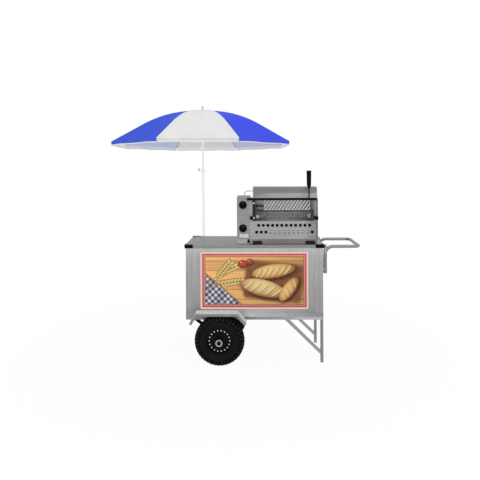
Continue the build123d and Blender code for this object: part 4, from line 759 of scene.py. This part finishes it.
def edge(distance, soft):
    """1 inside an outline and 0 outside it, with a soft edge."""
    return np.clip(0.5 - distance / soft, 0, 1)


def lit(colour, light):
    return np.asarray(colour) * light[..., None]


def dome(far):
    """Height of a round form of radius 1."""
    return np.sqrt(np.clip(1 - far * far, 0, 1))


def paint_loaf(art, centre, turn, half_x, half_y, cuts, crust):
    p, q = art.oval((centre[0] + 8, centre[1] - 11), turn, half_x * 1.07, half_y * 1.14)
    art.lay(0.85 * edge(np.hypot(p, q) - 1, 0.35), (0.045, 0.012, 0.004))
    p, q = art.oval(centre, turn, half_x, half_y)
    far = np.hypot(p, q)
    light = np.clip(0.16 + 0.80 * dome(far) + 0.30 * q - 0.14 * p, 0, 1.2)
    tone = np.asarray(crust) * light[..., None] ** np.asarray((0.95, 1.45, 2.0))
    speckle = 0.93 + 0.10 * np.sin(p * 41 + q * 17) * np.sin(q * 29 - p * 13)
    art.lay(edge(far - 1, 0.06), lit(tone, speckle))
    for k in range(cuts):
        spot = (k + 0.5) / cuts * 1.6 - 0.8
        bend = p - spot - 0.30 * q + 0.12 * q * q
        reach = edge(np.abs(q + 0.05) - 0.52, 0.3) * edge(far - 0.92, 0.1)
        art.lay(0.85 * edge(np.abs(bend - 0.05) - 0.03, 0.05) * reach, (0.13, 0.035, 0.008))
        art.lay(0.95 * edge(np.abs(bend) - 0.045, 0.05) * reach, (0.93, 0.74, 0.40))


def paint_ear(art, foot, turn, length):
    run, off = art.oval(foot, turn)
    off = off + 0.0006 * run * run
    art.lay(edge(np.abs(off) - 2.6, 2.0) * edge(-run, 4) * edge(run - length, 4), (0.50, 0.30, 0.07))
    for k in range(7):
        u = run - length * (0.42 + 0.082 * k) - 8
        for side in (-1, 1):
            v = off - side * 13
            far = np.hypot((u * 0.90 + side * v * 0.44) / 23, (v * 0.90 - side * u * 0.44) / 10)
            art.lay(edge(far - 1.2, 0.24), (0.12, 0.04, 0.008))
            art.lay(edge(far - 1, 0.18), lit((0.92, 0.66, 0.24), 0.45 + 0.65 * dome(far)))


def paint_tomato(art, centre, size):
    p, q = art.oval((centre[0] + 5, centre[1] - 7), 0, size * 1.1, size)
    art.lay(0.7 * edge(np.hypot(p, q) - 1, 0.35), (0.05, 0.012, 0.004))
    p, q = art.oval(centre, 0, size, size * 0.9)
    far = np.hypot(p, q)
    light = np.clip(0.25 + 0.8 * dome(far) + 0.25 * q, 0, 1.2)
    art.lay(edge(far - 1, 0.07), lit((0.62, 0.055, 0.03), light))
    art.lay(0.8 * edge(np.hypot(p + 0.35, q - 0.4) - 0.16, 0.12), (0.95, 0.72, 0.62))
    star = np.hypot(p, q - 0.1) - 0.22 - 0.16 * np.cos(5 * np.arctan2(q - 0.1, p) + 0.6)
    art.lay(edge(star, 0.08), (0.10, 0.17, 0.035))


def paint_board(x, y, half_x, half_y):
    """Colours of the print at points measured from its middle, in millimetres."""
    row = (y + half_y) / PLANK
    plank = np.floor(row)
    grain = np.sin(y * 0.55 + 3 * np.sin(x * 0.011 + plank * 2.1) + plank * 5)
    fine = np.sin(y * 2.1 + 2 * np.sin(x * 0.03 + plank)) * np.sin(x * 0.017 + plank * 1.7)
    tone = 0.82 + 0.15 * grain + 0.08 * fine + 0.10 * np.sin(plank * 2.7)
    art = Picture(x, y, lit((1.10, 0.58, 0.21), tone * (1.12 - 0.42 * (x / half_x + 1) / 2)))
    joint = np.abs(row - np.round(row)) * PLANK
    art.lay(0.75 * edge(joint - 1.8, 1.6), (0.10, 0.03, 0.008))
    # dark cutting board under the loaves
    u, v = art.oval((150, -8), -6)
    rim = np.hypot(np.maximum(np.abs(u) - 190, 0), np.maximum(np.abs(v) - 112, 0)) - 30
    art.lay(0.7 * edge(rim - 8, 22), (0.06, 0.018, 0.006))
    wood = 0.85 + 0.25 * np.sin(v * 0.42 + 2.5 * np.sin(u * 0.013)) + 0.12 * np.sin(v * 1.9)
    art.lay(edge(rim, 2), lit((0.30, 0.105, 0.035), wood))
    art.lay(0.6 * edge(np.abs(rim + 5) - 2, 2), (0.48, 0.22, 0.09))
    # checked napkin in the lower left corner
    hem = 0.86 * (x + 379) + (y + 184) - 236
    u, v = art.oval((0, 0), math.degrees(0.72), 17, 17)
    napkin = np.asarray(CHECKS)[(np.floor(u) % 2 + np.floor(v) % 2).astype(int)]
    art.lay(0.8 * edge(hem - 10, 20), (0.05, 0.015, 0.005))
    art.lay(edge(hem, 2), lit(napkin, 0.90 + 0.16 * np.sin(0.045 * x - 0.03 * y)))
    for paint, things in ((paint_ear, EARS), (paint_loaf, LOAVES), (paint_tomato, TOMATOES)):
        for thing in things:
            paint(art, *thing)
    # two-tone red frame and pale margin
    inset = np.minimum(half_x - np.abs(x), half_y - np.abs(y))
    shade = 0.86 + 0.18 * (y / half_y + 1) / 2
    art.lay(0.85 * edge(np.abs(inset - 35) - 2.2, 1.5), (0.16, 0.03, 0.025))
    for limit, red in ((33, (0.86, 0.29, 0.19)), (23, (0.54, 0.10, 0.09))):
        art.lay(edge(inset - limit, 1.5), lit(red, shade))
    art.lay(edge(inset - 12, 1.5), MARGIN)
    return art.colours


def make_print():
    """Film with rounded corners over the board, which carries the picture on its points."""
    low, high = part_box("poster_panel")
    middle = (low + high) / 2
    inset, corner, front, back = 2.5, 11.5, low.y - 0.0003, low.y - 0.00005
    half_x, half_y = (high.x - low.x) * 500 - inset, (high.z - low.z) * 500 - inset
    columns, rows = 414, 218
    x, y = np.meshgrid(np.linspace(-half_x, half_x, columns + 1), np.linspace(-half_y, half_y, rows + 1))
    colours = paint_board(x, y, half_x, half_y)
    beyond_x = np.maximum(np.abs(x) - (half_x - corner), 0)
    beyond_y = np.maximum(np.abs(y) - (half_y - corner), 0)
    far = np.hypot(beyond_x, beyond_y)
    pull = np.where(far > corner, corner / np.maximum(far, 1e-6), 1)
    flat_x = np.sign(x) * (np.abs(x) - beyond_x * (1 - pull))
    flat_y = np.sign(y) * (np.abs(y) - beyond_y * (1 - pull))
    bm = bmesh.new()
    grid = []
    for line_x, line_y in zip(flat_x / 1000, flat_y / 1000):
        grid.append([bm.verts.new((middle.x + u, front, middle.z + v)) for u, v in zip(line_x, line_y)])
    for under, over in zip(grid, grid[1:]):
        for j in range(columns):
            bm.faces.new((under[j], under[j + 1], over[j + 1], over[j]))
    # thin edge and back of the film, which meet the board
    rim = grid[0][:-1] + [line[-1] for line in grid[:-1]] + grid[-1][:0:-1] + [line[0] for line in grid[:0:-1]]
    behind = [bm.verts.new((v.co.x, back, v.co.z)) for v in rim]
    strip(bm, behind, rim)
    strip(bm, [bm.verts.new((middle.x, back, middle.z))], behind)
    obj = piece("poster_film", bm, "cart", "poster_print", finish["print"])
    ink = obj.data.color_attributes.new("ink", "FLOAT_COLOR", "POINT")
    flat = np.ones((len(obj.data.vertices), 4), np.float32)
    flat[:, :3] = MARGIN
    flat[: colours.size // 3, :3] = colours.reshape(-1, 3)
    ink.data.foreach_set("color", flat.ravel())


make_print()


# Oven: wire basket, twisted-strand screen and small fittings
def make_basket():
    """Woven wire basket with a rim rod, in place of the plain tray."""
    (x0, y0, z0), (x1, y1, z1) = limits("wire_tray")
    bm = bmesh.new()
    wire, pitch, fine, fine_pitch, rim = 1.5, 12.4, 1.0, 14.4, 2.2
    levels = [z0 + 10.6 * k for k in range(1, 6)]

    def lengthwise(y, z, radius, inset=wire, sides=5):
        rod(bm, (x0 + inset, y, z), (x1 - inset, y, z), radius, sides)

    def crosswise(x, z, radius, inset=wire, sides=5):
        rod(bm, (x, y0 + inset, z), (x, y1 - inset, z), radius, sides)

    def standing(x, y):
        rod(bm, (x, y, z0 + 0.9), (x, y, z1 - 2), wire, 5)

    for y in (y0 + wire, y1 - wire):
        for k in range(int((x1 - x0) / pitch) + 1):
            standing(x0 + 2 + k * pitch, y)
        for z in levels:
            lengthwise(y, z, wire)
    for x in (x0 + wire, x1 - wire):
        for k in range(int((y1 - y0) / pitch)):
            standing(x, y0 + 3 + k * pitch)
        for z in levels:
            crosswise(x, z, wire)
    # finer wires of the bottom, one set over the other
    for k in range(int((x1 - x0) / fine_pitch)):
        crosswise(x0 + 9 + k * fine_pitch, z0 + 1.0, fine)
    for k in range(int((y1 - y0) / fine_pitch)):
        lengthwise(y0 + 9 + k * fine_pitch, z0 + 2.6, fine)
    for z, radius in ((z1 - rim, rim), (z0 + rim, 1.8)):
        for y in (y0 + rim, y1 - rim):
            lengthwise(y, z, radius, 0.4, 10)
        for x in (x0 + rim, x1 - rim):
            crosswise(x, z, radius, 0.4, 10)
    obj = piece("tray_wires", bm, "cart", "burner_steel", finish["wire"])
    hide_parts("wire_tray")


def make_screen():
    """Expanded-metal screen: two sets of slanting strands, twisted opposite ways, in a rod frame."""
    (x0, y0, z0), (x1, y1, z1) = limits("mesh_screen")
    y, wide, tall = (y0 + y1) / 2, x1 - x0, z1 - z0
    lean, pitch, shortest = math.radians(56), 27.0, 0.04
    shift = tall / math.tan(lean)
    bm = bmesh.new()
    for way, width, twist in ((1, 11.0, math.radians(12)), (-1, 3.6, math.radians(-55))):
        broad = Vector((-way * math.sin(lean), 0, math.cos(lean))) * (math.cos(twist) * width / 2)
        broad += Vector((0, math.sin(twist) * width / 2, 0))
        step = way * shift
        foot = -shift
        while foot < wide + shift:
            # the share of the strand that lies between the two sides of the frame
            start, end = sorted((-foot / step, (wide - foot) / step))
            start, end = max(start, 0.0), min(end, 1.0)
            if end - start >= shortest:
                a, b = (Vector((x0 + foot + step * t, y, z0 + tall * t)) for t in (start, end))
                bar(bm, [a - broad, b - broad, b + broad, a + broad], (0, 0.9, 0))
            foot += pitch
    thick, inset, clear = 2.2, 2.5, 0.5
    for z in (z0 + inset, z1 - inset):
        rod(bm, (x0 + clear, y, z), (x1 - clear, y, z), thick, 10)
    for x in (x0 + inset, x1 - inset):
        rod(bm, (x, y, z0 + clear), (x, y, z1 - clear), thick, 10)
    obj = piece("screen_strands", bm, "cart", "burner_steel", finish["strand"], smooth=False)
    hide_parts("mesh_screen")


def make_spindle():
    """Spindle of the screen, with its collar on the oven's left wall."""
    end, y, z = limits("mesh_screen")[0]
    y, z, wall, radius = y + 2, z + 32, -29, 7
    bm = bmesh.new()
    rod(bm, (wall, y, z), (end, y, z), radius, 20)
    lathe(bm, (wall, y, z), (1, 0, 0), [(0, 0.2), (15, 0.2), (15, 4), (9, 7), (radius, 7)])
    piece("screen_spindle", bm, "cart", "black_steel", finish["black"])


def make_rating_plate():
    """Bare plate with rounded corners and four rivets."""
    x0, x1, z0, z1, y = -112.0, -44.0, 958.0, 987.0, -210.0
    thick, corner, inset = 0.8, 4, 4.5
    left, right, low, high = x0 + corner, x1 - corner, z0 + corner, z1 - corner
    outline = []
    for x, z, start in ((right, high, 0), (left, high, 90), (left, low, 180), (right, low, 270)):
        for k in range(5):
            a = math.radians(start + k * 22.5)
            outline.append((x + corner * math.cos(a), y - thick, z + corner * math.sin(a)))
    bm = bmesh.new()
    bar(bm, outline, (0, thick, 0))
    for x in (x0 + inset, x1 - inset):
        for z in (z0 + inset, z1 - inset):
            lathe(bm, (x, y - thick, z), (0, -1, 0), [(2.0, 0), (1.6, 0.7), (0.8, 1.1), (0, 1.2)], 12)
    bmesh.ops.recalc_face_normals(bm, faces=bm.faces)
    piece("rating_plate", bm, "cart", "pole_paint", finish["label"], smooth=False)


def make_oven_fittings():
    # closing strips under the pan, either side of the near feet
    (left, _, low), (right, _, high) = limits("oven_feet")
    pan_end, pan_face, foot_length = -130, -188, 71
    bm = bmesh.new()
    for x0, x1 in ((pan_end, left - 1), (left + foot_length, right - foot_length)):
        upright(bm, x0, x1, pan_face, low + 0.5, high, 1.2)
    # the strips take the plinth's steel, with its painted reflection lighter at the left
    piece("pan_strips", bm, "cart", "oven_steel", finish["plinth"], smooth=False)
    # pointer marks on the two knobs
    knob_x, half_mark = -86, 0.7
    for body in ("upper_knob", "lower_knob"):
        (_, y, z0), (_, _, z1) = limits(body)
        z = (z0 + z1) / 2
        bm = bmesh.new()
        upright(bm, knob_x - half_mark, knob_x + half_mark, y - 0.3, z + 9, z + 20, 0.3)
        piece(f"{body}_mark", bm, body, "grey_plastic", finish["grey"], smooth=False)
    # union nut on the gas inlet, below the control box
    bm = bmesh.new()
    nut = [(5.2, 0), (8.6, 1), (8.6, 20), (6.8, 22), (6.8, 31), (5.2, 32.5)]
    lathe(bm, (-44, -200, 912), (0, 0, 1), nut, 6)
    piece("inlet_nut", bm, "cart", "black_steel", finish["black"], smooth=False)
    # clips that hold the lower edge of the pane
    _, y, foot = limits("door_pane")[0]
    clip_x, washer_x, clip, half_clip = 28, 424, 1.6, 11
    bm = bmesh.new()
    upright(bm, clip_x - half_clip, clip_x + half_clip, y - clip, foot - 8, foot + 14, clip)
    lathe(bm, (clip_x, y - clip, foot + 5), (0, -1, 0), [(4.2, 0), (4.2, 1.8), (2.4, 3.0), (0, 3.2)], 14)
    washer = [(7, 0), (12, 0), (12, 3.5), (10.5, 4.6), (7, 4.6), (7, 0)]
    lathe(bm, (washer_x, y, foot + 8), (0, -1, 0), washer, 26)
    piece("pane_clips", bm, "oven_door", "zinc_steel", finish["zinc_coat"], smooth=False)
    # bolts through the left arm
    bm = bmesh.new()
    for z in (1111, 1225):
        lathe(bm, (0, -235, z), (0, -1, 0), [(8.4, -0.4), (8.4, 1.6), (6.6, 3.2), (3.2, 4.0), (0, 4.2)], 20)
    piece("arm_bolts", bm, "oven_door", "zinc_steel", finish["axle"])


make_basket()
make_screen()
make_spindle()
make_rating_plate()
make_oven_fittings()

# Tyres: rubber lugs over both shoulders and raised rings on the side walls
# Three points of (radius, half width) on the wall's arc, and of the tread's
WALL = ((108.2, 35.8), (142.1, 45.0), (176.0, 39.0))
TREAD = ((176.0, 39.0), (190.0, 0.0), (176.0, -39.0))
LUGS, LUG_TURN, LUG_RISE, SUNK = 40, 0.033, 2.2, 0.8
RING_SHARES, RING_RISE, RING_FOOT, RING_TOP = (0.05, 0.22, 0.35, 0.48), 1.4, 2.4, 1.5


def bow(arc, start, end, count):
    """Points of (radius, width) with their normals, along a share of the arc through three points."""
    a, b, c = (complex(*point) for point in arc)
    w = (c - a) / (b - a)
    centre = a + (b - a) * (w - abs(w) ** 2) / (2j * w.imag)
    low, high = cmath.phase(a - centre), cmath.phase(c - centre)
    points = []
    for k in range(count):
        normal = cmath.rect(1, low + (high - low) * (start + (end - start) * k / (count - 1)))
        spot = centre + abs(a - centre) * normal
        points.append((spot.real, spot.imag, normal.real, normal.imag))
    return points


def make_lugs(tyre, body):
    x, y, z = ((low + high) / 2 for low, high in zip(*limits(tyre)))
    bm = bmesh.new()
    tread = bow(TREAD, 0.0, 0.22, 5)
    for k in range(2 * LUGS):
        pair, way = k // 2, 1 if k % 2 else -1
        wall = bow(WALL, 0.66 if pair % 2 else 0.78, 1.0, 5)
        middle = 2 * math.pi * (pair + 0.25 * way) / LUGS
        rows = []
        for far, wide, out, over in wall[:-1] + tread:
            row = []
            for lift, turn in ((-SUNK, -1), (LUG_RISE, -0.8), (LUG_RISE, 0.8), (-SUNK, 1)):
                angle = middle + LUG_TURN * turn
                reach = far + out * lift
                spot = (x + reach * math.cos(angle), y + way * (wide + over * lift), z + reach * math.sin(angle))
                row.append(bm.verts.new(at(*spot)))
            rows.append(row)
        for low, high in zip(rows, rows[1:]):
            strip(bm, low, high)
        bm.faces.new(rows[0])
        bm.faces.new(rows[-1])
    section = [(-SUNK, -RING_FOOT), (RING_RISE, -RING_TOP), (RING_RISE, RING_TOP), (-SUNK, RING_FOOT)]
    for way in (-1, 1):
        for share in RING_SHARES:
            far, wide, out, over = bow(WALL, share, share, 2)[0]
            ring = [(far + out * lift - over * side, wide + over * lift + out * side) for lift, side in section]
            lathe(bm, (x, y, z), (0, way, 0), ring + ring[:1], 96)
    bmesh.ops.recalc_face_normals(bm, faces=bm.faces)
    piece(f"{tyre}_lugs", bm, body, "tyre_rubber", finish["lug"], smooth=False)


make_lugs("front_tyre", "front_wheel")
make_lugs("rear_tyre", "rear_wheel")


# Small fasteners and caps
def make_rivets():
    """Rivets along the upright edges of the cabinet's sheets."""
    bm = bmesh.new()
    head = [(3.4, 0), (3.1, 1.0), (2.0, 1.8), (0, 2.1)]
    levels = [412 + 88 * k for k in range(6)]
    for x in (-514.0, 514.0):
        for z in levels:
            for way in (-1, 1):
                lathe(bm, (x, way * CABINET_FACE, z), (0, way, 0), head, 14)
    for way in (-1, 1):
        for y in (-214.0, 214.0):
            for z in levels:
                lathe(bm, (way * CABINET_END, y, z), (way, 0, 0), head, 14)
    piece("cabinet_rivets", bm, "cart", "zinc_steel", finish["body"])


def make_rail_covers():
    """Welded covers on the open ends of the two long rails, each a plate with a smaller one on it."""
    (x0, y0, z0), (x1, y1, _) = limits("cabinet_frame")
    wide, tall = 22, 52
    bm = bmesh.new()
    for x, way in ((x0, -1), (x1, 1)):
        for low in (y0, y1 - wide):
            for inset, start, end in ((0.6, 0.0, 1.0), (3.4, 1.0, 1.6)):
                left, right, foot, head = low + inset, low + wide - inset, z0 + inset, z0 + tall - inset
                spot = x + way * start
                corners = [(spot, left, foot), (spot, right, foot), (spot, right, head), (spot, left, head)]
                bar(bm, corners, (way * (end - start), 0, 0))
    bmesh.ops.recalc_face_normals(bm, faces=bm.faces)
    piece("rail_covers", bm, "cart", "galvanised_steel", finish["zinc_coat"], smooth=False)


def make_handle_posts():
    """Flat bars behind the handle's legs, and posts that carry its bends."""
    (_, near, foot), (_, far, _) = limits("push_handle")
    tube, joint, head, thick, post_x, post_z = 12.5, 806, 866, 9.5, 548.5, 812
    outline = [(tube - 0.2, 0), (tube - 0.2, 90), (tube - 1.5, 92.5), (8, 93.6), (0, 94)]
    plates, posts = bmesh.new(), bmesh.new()
    for y in (near + tube, far - tube):
        for low, high, half in ((foot + 4, joint, 9), (joint, head, 8)):
            upright(plates, CABINET_END, CABINET_END + thick, y - half, low, high, 2 * half)
        lathe(posts, (post_x, y, post_z), (0, 0, 1), outline, 28)
    # the lower bars take the darker counter-lip steel and the upper ones the body steel: painted shade, darker below
    for face in plates.faces:
        face.material_index = int(face.calc_center_median().z > joint / 1000)
    piece("handle_plates", plates, "cart", "zinc_steel", finish["lip"], finish["body"], smooth=False)
    piece("handle_posts", posts, "cart", "zinc_steel", finish["zinc_coat"])


def make_axle_caps():
    (_, near, _), (_, far, _) = limits("axle")
    outline = [(15.8, -3.6), (15.8, 0.2), (14.0, 1.6), (8.0, 2.4), (0, 2.6)]
    for name, y, way in (("front_axle_cap", near, -1), ("rear_axle_cap", far, 1)):
        bm = bmesh.new()
        lathe(bm, (AXLE_X, y, AXLE_Z), (0, way, 0), outline, 28)
        piece(name, bm, "cart", "black_plastic", finish["plastic"])


make_rivets()
make_rail_covers()
make_handle_posts()
make_axle_caps()

# Floor and light
FLOOR_SIZE, FLOOR_COLOUR = 20, (0.66, 0.66, 0.66, 1)
FLOOR_FADE = (0.7, 2.4, 0.96, 1.0)  # two distances in metres, and the share of plain white at each
SOFT_LIGHT, LAMP_SIZE, LAMP_AIM = 0.60, 5.0, (0, 0, 900)
LAMPS = (("key", (-2200, -4600, 5200), 110), ("fill", (3400, -4600, 4200), 60), ("top", (0, 600, 6000), 40))


def white_rays(tree):
    """Share of rays that meet plain white: the camera's own, mirrored and refracted ones."""
    path = add_node(tree, "ShaderNodeLightPath").outputs
    share = path["Is Camera Ray"]
    for kind in ("Is Glossy Ray", "Is Transmission Ray"):
        share = add_node(tree, "ShaderNodeMath", share, path[kind], operation="MAXIMUM").outputs[0]
    return share


def make_floor():
    bm = bmesh.new()
    bmesh.ops.create_grid(bm, x_segments=1, y_segments=1, size=FLOOR_SIZE)
    floor = from_bmesh("floor", bm)
    paint = bpy.data.materials.new("floor")
    paint.use_nodes = True
    tree = paint.node_tree
    tree.nodes.clear()
    matt = add_node(tree, "ShaderNodeBsdfDiffuse", FLOOR_COLOUR)
    plain = add_node(tree, "ShaderNodeEmission", WHITE)
    spot = add_node(tree, "ShaderNodeTexCoord").outputs["Object"]
    far = add_node(tree, "ShaderNodeVectorMath", spot, operation="LENGTH").outputs["Value"]
    fade = add_node(tree, "ShaderNodeMapRange", far, *FLOOR_FADE, interpolation_type="SMOOTHSTEP")
    share = add_node(tree, "ShaderNodeMath", white_rays(tree), fade.outputs[0], operation="MULTIPLY")
    mix = add_node(tree, "ShaderNodeMixShader", share.outputs[0], matt.outputs[0], plain.outputs[0])
    add_node(tree, "ShaderNodeOutputMaterial", mix.outputs[0])
    floor.data.materials.append(paint)


def make_light():
    world = bpy.data.worlds.new("studio")
    bpy.context.scene.world = world
    world.use_nodes = True
    tree = world.node_tree
    tree.nodes.clear()
    soft, clear = (add_node(tree, "ShaderNodeBackground", WHITE, strength) for strength in (SOFT_LIGHT, 1.0))
    mix = add_node(tree, "ShaderNodeMixShader", white_rays(tree), soft.outputs[0], clear.outputs[0])
    add_node(tree, "ShaderNodeOutputWorld", mix.outputs[0])
    for name, spot, power in LAMPS:
        data = bpy.data.lights.new(name, "AREA")
        data.size, data.energy = LAMP_SIZE, power
        lamp = linked(name, data)
        lamp.location = at(*spot)
        lamp.rotation_euler = (at(*LAMP_AIM) - lamp.location).to_track_quat("-Z", "Y").to_euler()


make_floor()
make_light()
make_camera()
bpy.context.scene.view_settings.view_transform = "Standard"
